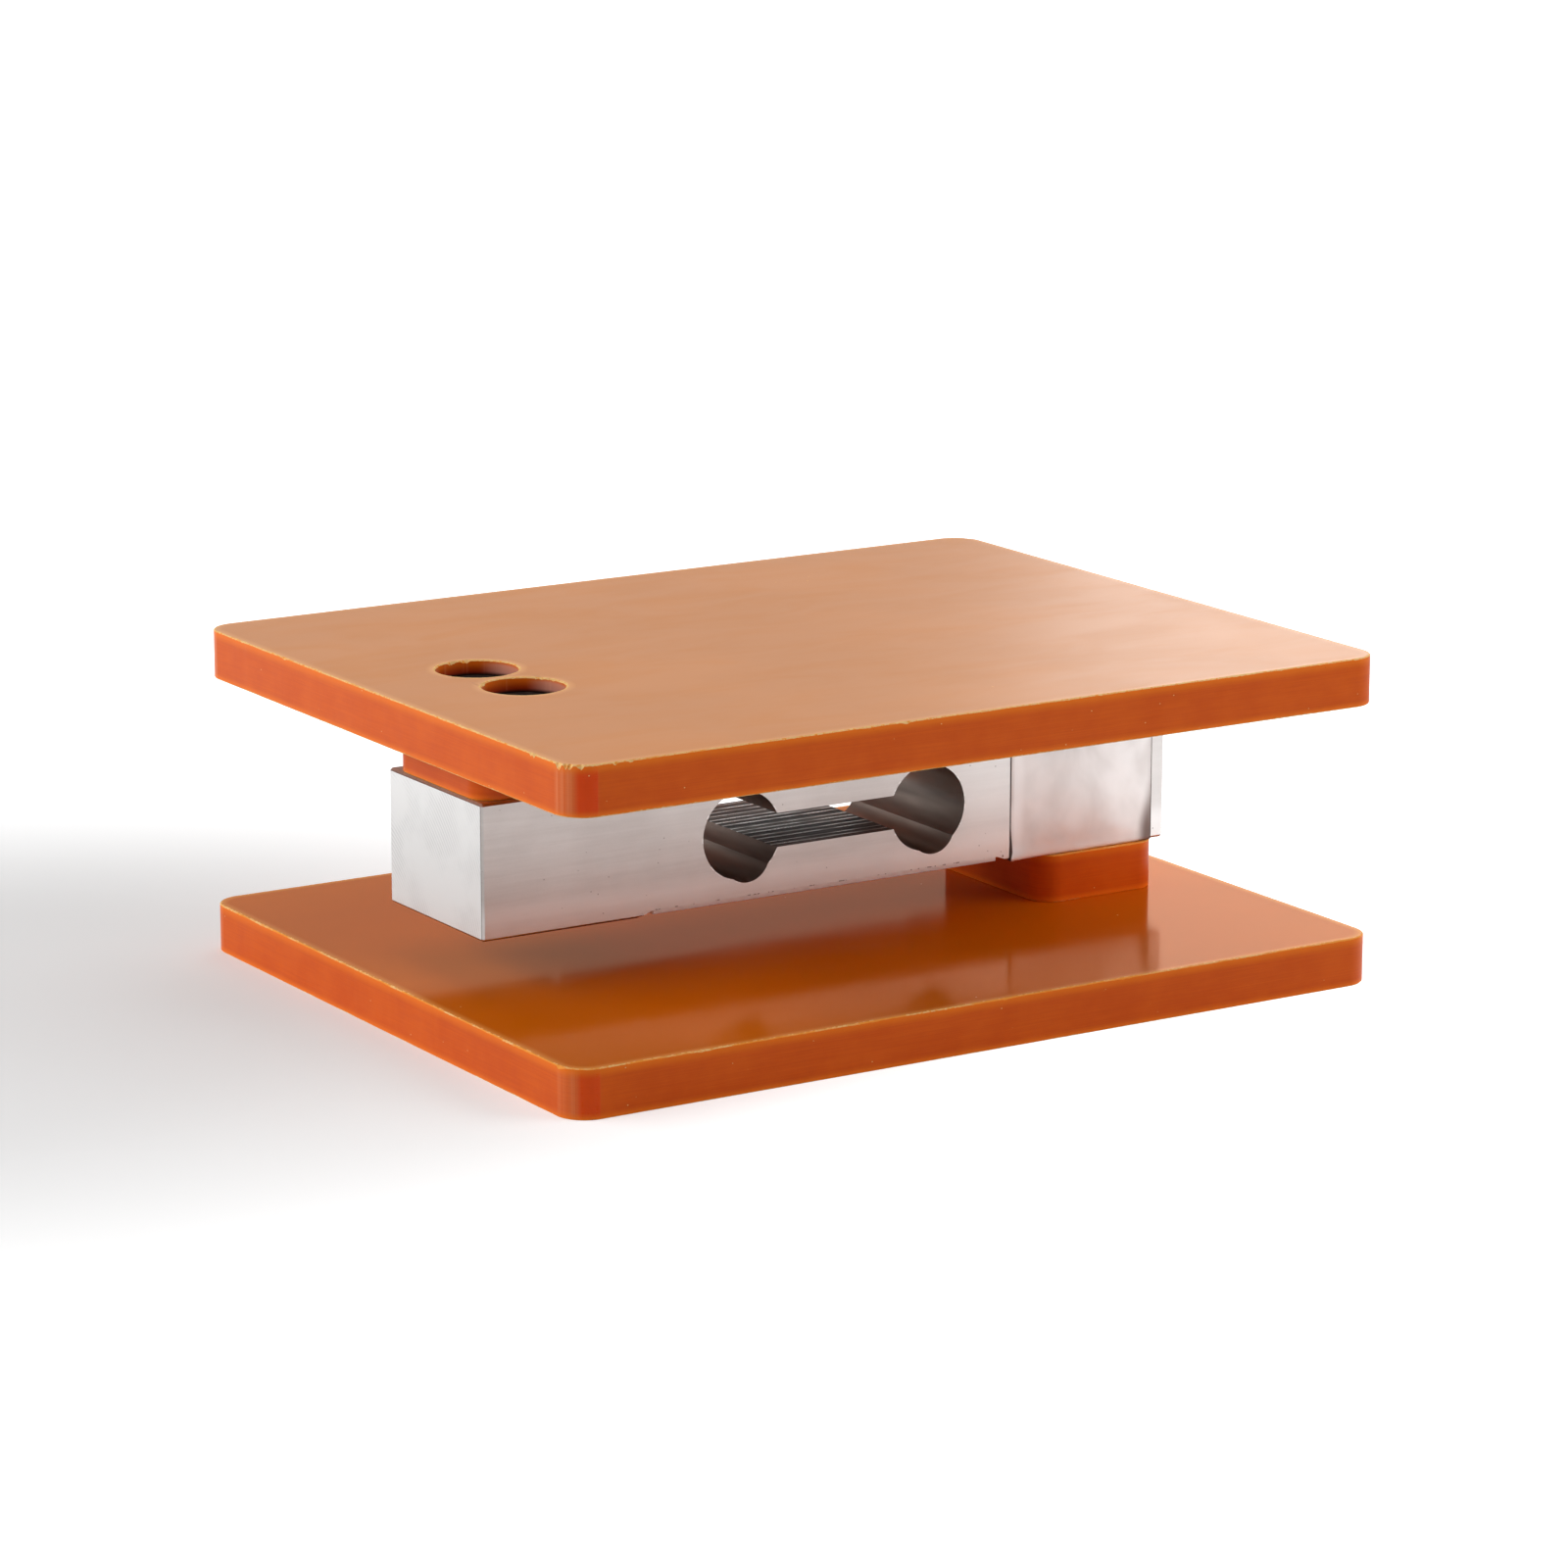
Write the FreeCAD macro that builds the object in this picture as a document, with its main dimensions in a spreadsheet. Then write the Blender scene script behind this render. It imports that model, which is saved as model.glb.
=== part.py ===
import FreeCAD, Part
import math
import os
import re

import Sketcher

# Weighing module: a single-point beam load cell held between two plates of phenolic laminate.
# Millimetres. The origin is the centre of the base plate's underside, +X runs along the beam from its
# load end to its fixed end, +Y points to the rear and +Z is up.

SIZES = {
    # Laminate plates and the spacer blocks cut from the same sheet
    "plate_length": 150.0,
    "plate_width": 120.0,
    "plate_thickness": 8.0,
    "plate_corner_radius": 5.0,
    "spacer_length": 23.5,
    "spacer_thickness": 8.0,
    "spacer_corner_radius": 4.0,
    "top_spacer_width": 28.0,
    "base_spacer_width": 31.5,
    "top_spacer_inset": 0.4,
    "base_spacer_inset": 1.4,
    "laminate_edge_break": 0.25,
    # Aluminium beam
    "beam_length": 130.0,
    "beam_width": 30.0,
    "beam_height": 22.0,
    "beam_edge_break": 0.4,
    "relief_depth": 0.9,
    "relief_slope": 2.5,
    "relief_load_margin": 12.0,
    "relief_fixed_margin": 1.4,
    "flexure_spacing": 35.5,
    "flexure_bore": 14.4,
    "flexure_wall": 2.2,
    "trim_bore": 8.4,
    "trim_shift": 1.0,
    "slot_height": 5.6,
    # Screws and their holes
    "screw_end_distance": 12.0,
    "screw_pitch": 15.0,
    "screw_length": 20.0,
    "thread_diameter": 6.0,
    "thread_clearance": 0.05,
    "thread_tip_chamfer": 0.7,
    "shank_clearance": 0.3,
    "head_diameter": 10.0,
    "head_height": 4.0,
    "head_edge_break": 0.4,
    "head_recess": 2.0,
    "counterbore_diameter": 13.2,
    "socket_across_flats": 4.0,
    "socket_depth": 2.5,
    # Wrap round the fixed end, and the terminal pocket under it
    "wrap_thickness": 0.2,
    "wrap_end_margin": 2.6,
    "wrap_corner_radius": 0.5,
    "pocket_margin": 3.0,
    "pocket_rim": 2.5,
    "pocket_depth": 3.2,
    "pocket_corner_radius": 1.5,
    "window_length": 7.0,
    "window_height": 4.0,
    "window_clearance": 0.5,
    "cable_bore": 5.2,
    "wire_bore_clearance": 0.1,
    "wire_bore_wall": 2.0,
    # Strain gauges, their sealing coats, leads and terminal board
    "gauge_length": 9.0,
    "gauge_width": 6.0,
    "gauge_thickness": 0.1,
    "cover_thickness": 0.7,
    "cover_end_gap": 0.3,
    "lead_diameter": 0.4,
    "lead_clearance": 0.05,
    "lead_pitch": 0.75,
    "lead_bend_radius": 0.8,
    "lead_overlap": 1.0,
    "lead_bypass": 1.0,
    "lead_level": 0.6,
    "board_pad_pitch": 1.0,
    "board_thickness": 1.0,
    "board_margin": 1.0,
    "board_hole": 0.8,
    "board_hole_pitch": 1.2,
    "board_hole_drop": 1.5,
    "resistor_length": 2.0,
    "resistor_width": 1.25,
    "resistor_height": 0.55,
    "resistor_pitch": 2.6,
}

# Heights above the base plate's underside, and places along the beam from its middle.
BEAM_BOTTOM = "(plate_thickness + spacer_thickness + wrap_thickness)"
BEAM_MIDDLE = f"({BEAM_BOTTOM} + beam_height / 2)"
BEAM_TOP = f"({BEAM_BOTTOM} + beam_height)"
TOP_PLATE_BOTTOM = f"({BEAM_TOP} + spacer_thickness)"
TOP_SCREW_SEAT = f"({TOP_PLATE_BOTTOM} + plate_thickness - head_height - head_recess)"
LOAD_SCREW_X = "(screw_end_distance - beam_length / 2)"
FIXED_SCREW_X = "(beam_length / 2 - screw_end_distance)"
TOP_SPACER_X = "(top_spacer_inset + spacer_length / 2 - beam_length / 2)"
BASE_SPACER_X = "(beam_length / 2 - base_spacer_inset - spacer_length / 2)"
COUNTERBORE_DEPTH = "(head_height + head_recess)"
SHANK_HOLE = "(thread_diameter + 2 * shank_clearance)"
THREAD_HOLE = "(thread_diameter + 2 * thread_clearance)"

# The wire bore stands beside the fixed-side flexure bore, and holds all the leads.
FLEXURE_REACH = "(flexure_spacing / 2 + flexure_bore / 2)"
LEAD_SPREAD = "(1.5 * lead_pitch)"
WIRE_BORE = f"(2 * sqrt({LEAD_SPREAD}^2 + lead_level^2) + lead_diameter + 2 * wire_bore_clearance)"
WIRE_BORE_X = f"({FLEXURE_REACH} + wire_bore_wall + {WIRE_BORE} / 2)"

# The gauge reliefs reach past both bores, as far as the wrap. Levels here are from the beam's middle.
RELIEF_START = f"(-{FLEXURE_REACH} - relief_load_margin)"
RELIEF_END = f"({WIRE_BORE_X} + {WIRE_BORE} / 2 + relief_fixed_margin + relief_slope)"
RELIEF_LENGTH = f"({RELIEF_END} - {RELIEF_START})"
RELIEF_MIDDLE = f"({RELIEF_END} / 2 + {RELIEF_START} / 2)"
RELIEF_FLOOR = "(beam_height / 2 - relief_depth)"
COVER_LENGTH = f"({RELIEF_LENGTH} - 2 * relief_slope - 2 * cover_end_gap)"
TRIM_RISE = f"({RELIEF_FLOOR} - flexure_wall - trim_bore / 2)"
LEAD_RISE = f"({RELIEF_FLOOR} + gauge_thickness + lead_clearance + lead_diameter / 2)"

# The terminal pocket lies in the upper half of the fixed end, above the screws, with a window behind the
# board where the leads and the cable come in.
WRAP_LENGTH = f"(beam_length / 2 - wrap_end_margin - {RELIEF_END})"
POCKET_START = f"({RELIEF_END} + pocket_margin)"
POCKET_LENGTH = f"({WRAP_LENGTH} - 2 * pocket_margin)"
POCKET_MIDDLE = f"({POCKET_START} + {POCKET_LENGTH} / 2)"
POCKET_HEIGHT = "(beam_height / 2 - pocket_rim)"
POCKET_RISE = f"({POCKET_HEIGHT} / 2)"
POCKET_FLOOR = "(pocket_depth - beam_width / 2)"
WINDOW_MIDDLE = f"({POCKET_START} + window_length / 2)"
WINDOW_DEPTH = f"(beam_width / 2 + {LEAD_SPREAD} + lead_diameter / 2 + window_clearance)"
CABLE_BORE_LENGTH = f"(beam_length / 2 - {POCKET_START} - window_length + pocket_corner_radius)"
LONG_BORE_LENGTH = f"({POCKET_START} + pocket_corner_radius - {WIRE_BORE_X})"

TOLERANCE = 1e-6
UP = FreeCAD.Vector(0, 0, 1)

doc = FreeCAD.newDocument("weighing_module")
sheet = doc.addObject("Spreadsheet::Sheet", "sizes")
for row, (alias, number) in enumerate(SIZES.items(), start=1):
    sheet.set(f"A{row}", alias)
    sheet.set(f"B{row}", str(number))
    sheet.setAlias(f"B{row}", alias)
doc.recompute()


def formula(text):
    """A formula on the sizes, with each alias named as a cell of the sheet."""
    return re.sub(r"[a-z]\w*", lambda word: f"sizes.{word[0]}" if word[0] in SIZES else word[0], text)


def value(text):
    """The number that a formula gives."""
    return float(sheet.evalExpression(formula(text)))


def bind(item, name, text):
    """Ties a property of an object to a formula."""
    item.setExpression(name, formula(text))


def place(item, x="0", y="0", z="0"):
    """Ties an object's place to three formulas."""
    for axis, text in zip("xyz", (x, y, z)):
        bind(item, f"Placement.Base.{axis}", text)
    return item


def add_body(label):
    """An empty body with its label."""
    body = doc.addObject("PartDesign::Body", label)
    body.Label = label
    return body


def add_sketch(body, name, role, x="0", y="0", z="0"):
    """A sketch on an origin plane of the body, with its own origin moved by three formulas."""
    sketch = body.newObject("Sketcher::SketchObject", name)
    plane = next(item for item in body.Origin.OriginFeatures if item.Role == role)
    sketch.AttachmentSupport = (plane, [""])
    sketch.MapMode = "FlatFace"
    for axis, text in zip("xyz", (x, y, z)):
        bind(sketch, f"AttachmentOffset.Base.{axis}", text)
    return sketch


def add_size(sketch, constraint, text):
    """Adds a measured constraint and ties it to a formula."""
    index = sketch.addConstraint(constraint)
    name = f"size_{index}"
    sketch.renameConstraint(index, name)
    bind(sketch, f"Constraints.{name}", text)


def add_polygon(sketch, corners):
    """Lines round the corners, joined end to end."""
    ends = zip(corners, corners[1:] + corners[:1])
    lines = [sketch.addGeometry(Part.LineSegment(a, b), False) for a, b in ends]
    for line, following in zip(lines, lines[1:] + lines[:1]):
        sketch.addConstraint(Sketcher.Constraint("Coincident", line, 2, following, 1))
    return lines


def add_rectangle(sketch, width, height):
    """A rectangle about the sketch's origin."""
    x, y = value(width) / 2, value(height) / 2
    corners = [FreeCAD.Vector(*at) for at in ((-x, -y), (x, -y), (x, y), (-x, y))]
    lower, right, upper, left = add_polygon(sketch, corners)
    for line in (lower, upper):
        sketch.addConstraint(Sketcher.Constraint("Horizontal", line))
    for line in (right, left):
        sketch.addConstraint(Sketcher.Constraint("Vertical", line))
    sketch.addConstraint(Sketcher.Constraint("Symmetric", lower, 1, upper, 1, -1, 1))
    add_size(sketch, Sketcher.Constraint("DistanceX", lower, 1, lower, 2, 2 * x), width)
    add_size(sketch, Sketcher.Constraint("DistanceY", right, 1, right, 2, 2 * y), height)


def add_rounded_rectangle(sketch, width, height, radius):
    """A rectangle with rounded corners about the sketch's origin."""
    x, y, r = value(width) / 2, value(height) / 2, value(radius)
    quarter = math.pi / 2
    centres = ((r - x, r - y), (x - r, r - y), (x - r, y - r), (r - x, y - r))
    arcs = []
    for turn, (cx, cy) in enumerate(centres, start=2):
        circle = Part.Circle(FreeCAD.Vector(cx, cy), UP, r)
        arc = Part.ArcOfCircle(circle, turn * quarter, (turn + 1) * quarter)
        arcs.append(sketch.addGeometry(arc, False))
    lower = ((r - x, -y), (x - r, -y))
    right = ((x, r - y), (x, y - r))
    upper = ((x - r, y), (r - x, y))
    left = ((-x, y - r), (-x, r - y))
    lines = []
    for start, end in (lower, right, upper, left):
        segment = Part.LineSegment(FreeCAD.Vector(*start), FreeCAD.Vector(*end))
        lines.append(sketch.addGeometry(segment, False))
    for arc, line, following in zip(arcs, lines, arcs[1:] + arcs[:1]):
        sketch.addConstraint(Sketcher.Constraint("Tangent", arc, 2, line, 1))
        sketch.addConstraint(Sketcher.Constraint("Tangent", line, 2, following, 1))
    for direction, line in zip(("Horizontal", "Vertical", "Horizontal", "Vertical"), lines):
        sketch.addConstraint(Sketcher.Constraint(direction, line))
    for arc in arcs[1:]:
        sketch.addConstraint(Sketcher.Constraint("Equal", arcs[0], arc))
    sketch.addConstraint(Sketcher.Constraint("Symmetric", arcs[0], 3, arcs[2], 3, -1, 1))
    add_size(sketch, Sketcher.Constraint("Radius", arcs[0], r), radius)
    add_size(sketch, Sketcher.Constraint("DistanceX", lines[3], 1, lines[1], 1, 2 * x), width)
    add_size(sketch, Sketcher.Constraint("DistanceY", lines[0], 1, lines[2], 1, 2 * y), height)


def add_circle(sketch, diameter):
    """A circle about the sketch's origin."""
    circle = sketch.addGeometry(Part.Circle(FreeCAD.Vector(), UP, value(diameter) / 2), False)
    sketch.addConstraint(Sketcher.Constraint("Coincident", circle, 3, -1, 1))
    add_size(sketch, Sketcher.Constraint("Diameter", circle, value(diameter)), diameter)


def add_hexagon(sketch, across_flats):
    """A regular hexagon about the sketch's origin, with a corner on its horizontal axis."""
    corner_circle = f"{across_flats} / cos(30)"
    radius = value(corner_circle) / 2
    turn = FreeCAD.Rotation(UP, 60)
    corners = [FreeCAD.Vector(radius, 0)]
    for _ in range(5):
        corners.append(turn.multVec(corners[-1]))
    circle = sketch.addGeometry(Part.Circle(FreeCAD.Vector(), UP, radius), True)
    sketch.addConstraint(Sketcher.Constraint("Coincident", circle, 3, -1, 1))
    lines = add_polygon(sketch, corners)
    for line in lines:
        sketch.addConstraint(Sketcher.Constraint("PointOnObject", line, 1, circle))
    for line in lines[1:]:
        sketch.addConstraint(Sketcher.Constraint("Equal", lines[0], line))
    sketch.addConstraint(Sketcher.Constraint("PointOnObject", lines[0], 1, -1))
    add_size(sketch, Sketcher.Constraint("Diameter", circle, 2 * radius), corner_circle)


def add_relief_outline(sketch):
    """The trapezoid that a gauge relief cuts: its wide side lies on the beam's face."""
    half, slope, depth = value(RELIEF_LENGTH) / 2, value("relief_slope"), value("relief_depth")
    outline = ((-half, 0), (half, 0), (half - slope, -depth), (slope - half, -depth))
    face, _, floor, _ = add_polygon(sketch, [FreeCAD.Vector(*at) for at in outline])
    sketch.addConstraint(Sketcher.Constraint("Symmetric", face, 1, face, 2, -1, 1))
    sketch.addConstraint(Sketcher.Constraint("PointOnObject", face, 1, -1))
    sketch.addConstraint(Sketcher.Constraint("Symmetric", floor, 1, floor, 2, -2))
    add_size(sketch, Sketcher.Constraint("DistanceX", face, 1, face, 2, 2 * half), RELIEF_LENGTH)
    add_size(sketch, Sketcher.Constraint("DistanceX", floor, 1, face, 2, slope), "relief_slope")
    add_size(sketch, Sketcher.Constraint("DistanceY", floor, 1, face, 2, depth), "relief_depth")


def add_pad(body, name, sketch, length, side="One side", backwards=False):
    """Raises a sketch by a formula's length."""
    pad = body.newObject("PartDesign::Pad", name)
    pad.Profile = sketch
    pad.SideType = side
    pad.Reversed = backwards
    bind(pad, "Length", length)
    return pad


def add_pocket(body, name, sketch, length=None, side="One side", backwards=False):
    """Cuts a sketch into the body, by a formula's length or right through."""
    pocket = body.newObject("PartDesign::Pocket", name)
    pocket.Profile = sketch
    pocket.SideType = side
    pocket.Reversed = backwards
    if length is None:
        pocket.Type = "ThroughAll"
    else:
        bind(pocket, "Length", length)


def add_hole(body, name, role, diameter, x="0", y="0", z="0", **cut):
    """A round hole cut from a circle on an origin plane, with the pocket's options."""
    sketch = add_sketch(body, f"{name}_circle", role, x, y, z)
    add_circle(sketch, diameter)
    add_pocket(body, name, sketch, **cut)


def break_edges(body, name, feature, size, chosen):
    """Chamfers the feature's edges that the test picks."""
    doc.recompute()
    edges = enumerate(feature.Shape.Edges, start=1)
    chamfer = body.newObject("PartDesign::Chamfer", name)
    chamfer.Base = (feature, [f"Edge{index}" for index, edge in edges if chosen(edge)])
    bind(chamfer, "Size", size)


def is_level(edge):
    """True for an edge that lies in a level plane."""
    return edge.BoundBox.ZLength < TOLERANCE


def screw_offsets():
    """The two screws of an end: a name for each, and its place across the beam."""
    return (("front", "-screw_pitch / 2"), ("rear", "screw_pitch / 2"))


def pocket_cuts():
    """The terminal pocket and its window: name, place along the beam, length, height and depth of each."""
    return (("terminal_pocket", POCKET_MIDDLE, POCKET_LENGTH, POCKET_HEIGHT, "pocket_depth"),
            ("lead_window", WINDOW_MIDDLE, "window_length", "window_height", WINDOW_DEPTH))


def make_plate(label, bottom, screw_x, bored_from_top):
    """A laminate plate with two counterbored screw holes."""
    body = place(add_body(label), z=bottom)
    outline = add_sketch(body, f"{label}_outline", "XY_Plane")
    add_rounded_rectangle(outline, "plate_length", "plate_width", "plate_corner_radius")
    sheet_pad = add_pad(body, f"{label}_sheet", outline, "plate_thickness")
    break_edges(body, f"{label}_edges", sheet_pad, "laminate_edge_break", is_level)
    face = "plate_thickness" if bored_from_top else "0"
    for name, y in screw_offsets():
        add_hole(body, f"{label}_{name}_hole", "XY_Plane", SHANK_HOLE, screw_x, y, backwards=True)
        add_hole(body, f"{label}_{name}_counterbore", "XY_Plane", "counterbore_diameter", screw_x, y, face,
                 length=COUNTERBORE_DEPTH, backwards=not bored_from_top)
    return body


def make_spacer(label, width, x, bottom, screw_x):
    """A laminate block with two clearance holes for the screws."""
    body = place(add_body(label), x=x, z=bottom)
    outline = add_sketch(body, f"{label}_outline", "XY_Plane")
    add_rounded_rectangle(outline, "spacer_length", width, "spacer_corner_radius")
    block = add_pad(body, f"{label}_block", outline, "spacer_thickness")
    break_edges(body, f"{label}_edges", block, "laminate_edge_break", is_level)
    hole_x = f"{screw_x} - {x}"
    for name, y in screw_offsets():
        add_hole(body, f"{label}_{name}_hole", "XY_Plane", SHANK_HOLE, hole_x, y, backwards=True)
    return body


def make_beam(label):
    """The aluminium beam. Its own origin is the centre of the bar."""
    body = place(add_body(label), z=BEAM_MIDDLE)
    section = add_sketch(body, "bar_section", "XZ_Plane")
    add_rectangle(section, "beam_length", "beam_height")
    bar = add_pad(body, "bar", section, "beam_width", "Symmetric")
    break_edges(body, "bar_edges", bar, "beam_edge_break", lambda edge: True)

    # Shallow reliefs across the upper and lower faces, where the gauges are bonded
    reliefs = (("upper_relief", "beam_height / 2", 0), ("lower_relief", "-beam_height / 2", 180))
    for name, face, turn in reliefs:
        outline = add_sketch(body, f"{name}_outline", "XZ_Plane", RELIEF_MIDDLE, face)
        outline.AttachmentOffset = FreeCAD.Placement(FreeCAD.Vector(), FreeCAD.Rotation(UP, turn))
        add_relief_outline(outline)
        add_pocket(body, name, outline, side="Symmetric")

    # Dog-bone cut-out: two bores joined by a slot. Each bore is ground deeper below, a little to the fixed
    # side of its axis, to set its lower wall.
    for name, x in (("load", "-flexure_spacing / 2"), ("fixed", "flexure_spacing / 2")):
        add_hole(body, f"{name}_flexure_bore", "XZ_Plane", "flexure_bore", x, side="Symmetric")
        add_hole(body, f"{name}_trim", "XZ_Plane", "trim_bore", f"{x} + trim_shift", f"-{TRIM_RISE}",
                 side="Symmetric")
    slot = add_sketch(body, "slot_outline", "XZ_Plane")
    add_rectangle(slot, "flexure_spacing", "slot_height")
    add_pocket(body, "flexure_slot", slot, side="Symmetric")

    # Threaded holes at both ends, drawn at the thread's outer diameter
    for end, x in (("load", LOAD_SCREW_X), ("fixed", FIXED_SCREW_X)):
        for name, y in screw_offsets():
            add_hole(body, f"{end}_{name}_thread", "XY_Plane", THREAD_HOLE, x, y, side="Symmetric")

    # Terminal pocket in the front of the fixed end, the cable's inlet and the bores for the gauge leads
    for name, x, length, height, depth in pocket_cuts():
        mouth = add_sketch(body, f"{name}_mouth", "XZ_Plane", x, POCKET_RISE, "beam_width / 2")
        add_rounded_rectangle(mouth, length, height, "pocket_corner_radius")
        add_pocket(body, name, mouth, depth)
    add_hole(body, "cable_inlet", "YZ_Plane", "cable_bore", "0", POCKET_RISE, "beam_length / 2",
             length=CABLE_BORE_LENGTH)
    add_hole(body, "cross_wire_bore", "XY_Plane", WIRE_BORE, WIRE_BORE_X, side="Symmetric")
    add_hole(body, "long_wire_bore", "YZ_Plane", WIRE_BORE, "0", POCKET_RISE, WIRE_BORE_X,
             length=LONG_BORE_LENGTH, backwards=True)
    return body


def make_screw(label, x, y, seat, angle):
    """A low-head cap screw. Its own origin is the seat under the head, with the shank pointing down."""
    body = add_body(label)
    body.Placement = FreeCAD.Placement(FreeCAD.Vector(), FreeCAD.Rotation(FreeCAD.Vector(1, 0, 0), angle))
    place(body, x, y, seat)
    head_circle = add_sketch(body, f"{label}_head_circle", "XY_Plane")
    add_circle(head_circle, "head_diameter")
    head = add_pad(body, f"{label}_head", head_circle, "head_height")
    top = value("head_height")
    break_edges(body, f"{label}_head_edge", head, "head_edge_break",
                lambda edge: abs(edge.BoundBox.ZMin - top) < TOLERANCE)
    socket = add_sketch(body, f"{label}_socket_outline", "XY_Plane", z="head_height")
    add_hexagon(socket, "socket_across_flats")
    add_pocket(body, f"{label}_socket", socket, "socket_depth")
    shank_circle = add_sketch(body, f"{label}_shank_circle", "XY_Plane")
    add_circle(shank_circle, "thread_diameter")
    shank = add_pad(body, f"{label}_shank", shank_circle, "screw_length", backwards=True)
    tip = -value("screw_length")
    break_edges(body, f"{label}_tip", shank, "thread_tip_chamfer",
                lambda edge: abs(edge.BoundBox.ZMax - tip) < TOLERANCE)
    return body


def make_screws(label, x, seat, angle):
    """The two screws of one end, as a group of separate solids."""
    group = doc.addObject("Part::Compound", label)
    group.Label = label
    singular = label.removesuffix("s")
    group.Links = [make_screw(f"{singular}_{name}", x, y, seat, angle) for name, y in screw_offsets()]
    return group


def make_wrap(label):
    """The band of foil round the beam's fixed end, holed for the screws below."""
    body = place(add_body(label), x=RELIEF_END, z=BEAM_MIDDLE)
    section = add_sketch(body, "wrap_section", "YZ_Plane")
    add_rounded_rectangle(section, "beam_width + 2 * wrap_thickness", "beam_height + 2 * wrap_thickness",
                          "wrap_corner_radius")
    add_rectangle(section, "beam_width", "beam_height")
    add_pad(body, "wrap_band", section, WRAP_LENGTH)
    for name, y in screw_offsets():
        add_hole(body, f"wrap_{name}_hole", "XY_Plane", SHANK_HOLE, f"{FIXED_SCREW_X} - {RELIEF_END}", y)
    return body


def make_box(label, length, width, height, x, y, z):
    """A block tied to formulas for its sizes and its lowest corner."""
    box = place(doc.addObject("Part::Box", label), x, y, z)
    box.Label = label
    bind(box, "Length", length)
    bind(box, "Width", width)
    bind(box, "Height", height)
    return box


def make_gauge(label, x, bottom):
    """A foil strain gauge on its backing film, centred over a bore."""
    return make_box(label, "gauge_length", "gauge_width", "gauge_thickness",
                    f"{x} - gauge_length / 2", "-gauge_width / 2", bottom)


def rounded_path(points, radius):
    """Straight runs through the points, joined by arcs of one radius."""
    edges = []
    start = points[0]
    for before, corner, after in zip(points, points[1:], points[2:]):
        arriving = (corner - before).normalize()
        leaving = (after - corner).normalize()
        bisector = (leaving - arriving).normalize()
        half_turn = arriving.getAngle(leaving) / 2
        setback = radius * math.tan(half_turn)
        bend_start = corner - arriving * setback
        bend_end = corner + leaving * setback
        bend_middle = corner + bisector * (radius / math.cos(half_turn) - radius)
        edges.append(Part.LineSegment(start, bend_start).toShape())
        edges.append(Part.Arc(bend_start, bend_middle, bend_end).toShape())
        start = bend_end
    edges.append(Part.LineSegment(start, points[-1]).toShape())
    return Part.Wire(edges)


def make_wire(points):
    """A round wire along a path of straight runs and bends."""
    path = rounded_path(points, value("lead_bend_radius"))
    circle = Part.Circle(points[0], points[1] - points[0], value("lead_diameter") / 2)
    return path.makePipeShell([Part.Wire([circle.toShape()])], True, False)


def lead_route(from_load_side, front, side):
    """The points of one lead, about the beam's centre: along the relief, through the bores, to the board.

    side is 1 on the upper relief and -1 on the lower one, and front is 1 or -1 across the beam.
    """
    lane = front * (1.5 if from_load_side else 0.5)
    y = lane * value("lead_pitch")
    rise = side * value(LEAD_RISE)
    level = value(POCKET_RISE) + side * value("lead_level")
    gauge_end = value("flexure_spacing / 2 + gauge_length / 2")
    start = value("gauge_length / 2 - flexure_spacing / 2") if from_load_side else gauge_end
    points = [(start - value("lead_overlap"), y, rise)]
    if from_load_side:
        aside = front * value("gauge_width / 2 + lead_bypass")
        shift = abs(aside - y)
        leave = start + value("lead_bypass")
        points += [(leave, y, rise), (leave + shift, aside, rise)]
        points += [(gauge_end, aside, rise), (gauge_end + shift, y, rise)]
    wire_bore_x = value(WIRE_BORE_X)
    pad_x = value(WINDOW_MIDDLE) + lane * value("board_pad_pitch")
    pad_y = value(f"{POCKET_FLOOR} + lead_clearance")
    points += [(wire_bore_x, y, rise), (wire_bore_x, y, level), (pad_x, y, level), (pad_x, pad_y, level)]
    return [FreeCAD.Vector(*point) for point in points]


def make_leads(label, side):
    """The four leads of the two gauges on one face, as a group of separate wires."""
    routes = [
        lead_route(from_load_side, front, side)
        for from_load_side in (True, False)
        for front in (-1, 1)
    ]
    leads = doc.addObject("Part::Feature", label)
    leads.Label = label
    leads.Shape = Part.makeCompound([make_wire(route) for route in routes])
    return place(leads, z=BEAM_MIDDLE)


def make_cut(label, base, tools):
    """What is left of a block when other pieces take their room from it."""
    group = doc.addObject("Part::Compound", f"{label}_room")
    group.Links = tools
    cut = doc.addObject("Part::Cut", label)
    cut.Label = label
    cut.Base = base
    cut.Tool = group
    return cut


def make_cover(label, bottom, embedded):
    """The sealing coat over the gauges and leads of one relief."""
    coat = make_box(f"{label}_coat", COVER_LENGTH, "beam_width", "cover_thickness",
                    f"{RELIEF_MIDDLE} - {COVER_LENGTH} / 2", "-beam_width / 2", bottom)
    return make_cut(label, coat, embedded)


def make_board(label):
    """The terminal board, upright on the pocket's floor, with four holes for the cable's cores."""
    body = place(add_body(label), POCKET_MIDDLE, POCKET_FLOOR, f"{BEAM_MIDDLE} + {POCKET_RISE}")
    outline = add_sketch(body, "board_outline", "XZ_Plane")
    add_rectangle(outline, f"{POCKET_LENGTH} - 2 * board_margin", f"{POCKET_HEIGHT} - 2 * board_margin")
    add_pad(body, "board_sheet", outline, "board_thickness")
    for index, step in enumerate((-1.5, -0.5, 0.5, 1.5), start=1):
        add_hole(body, f"core_hole_{index}", "XZ_Plane", "board_hole",
                 f"{WINDOW_MIDDLE} - {POCKET_MIDDLE} + {step} * board_hole_pitch", "-board_hole_drop",
                 backwards=True)
    return body


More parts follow.
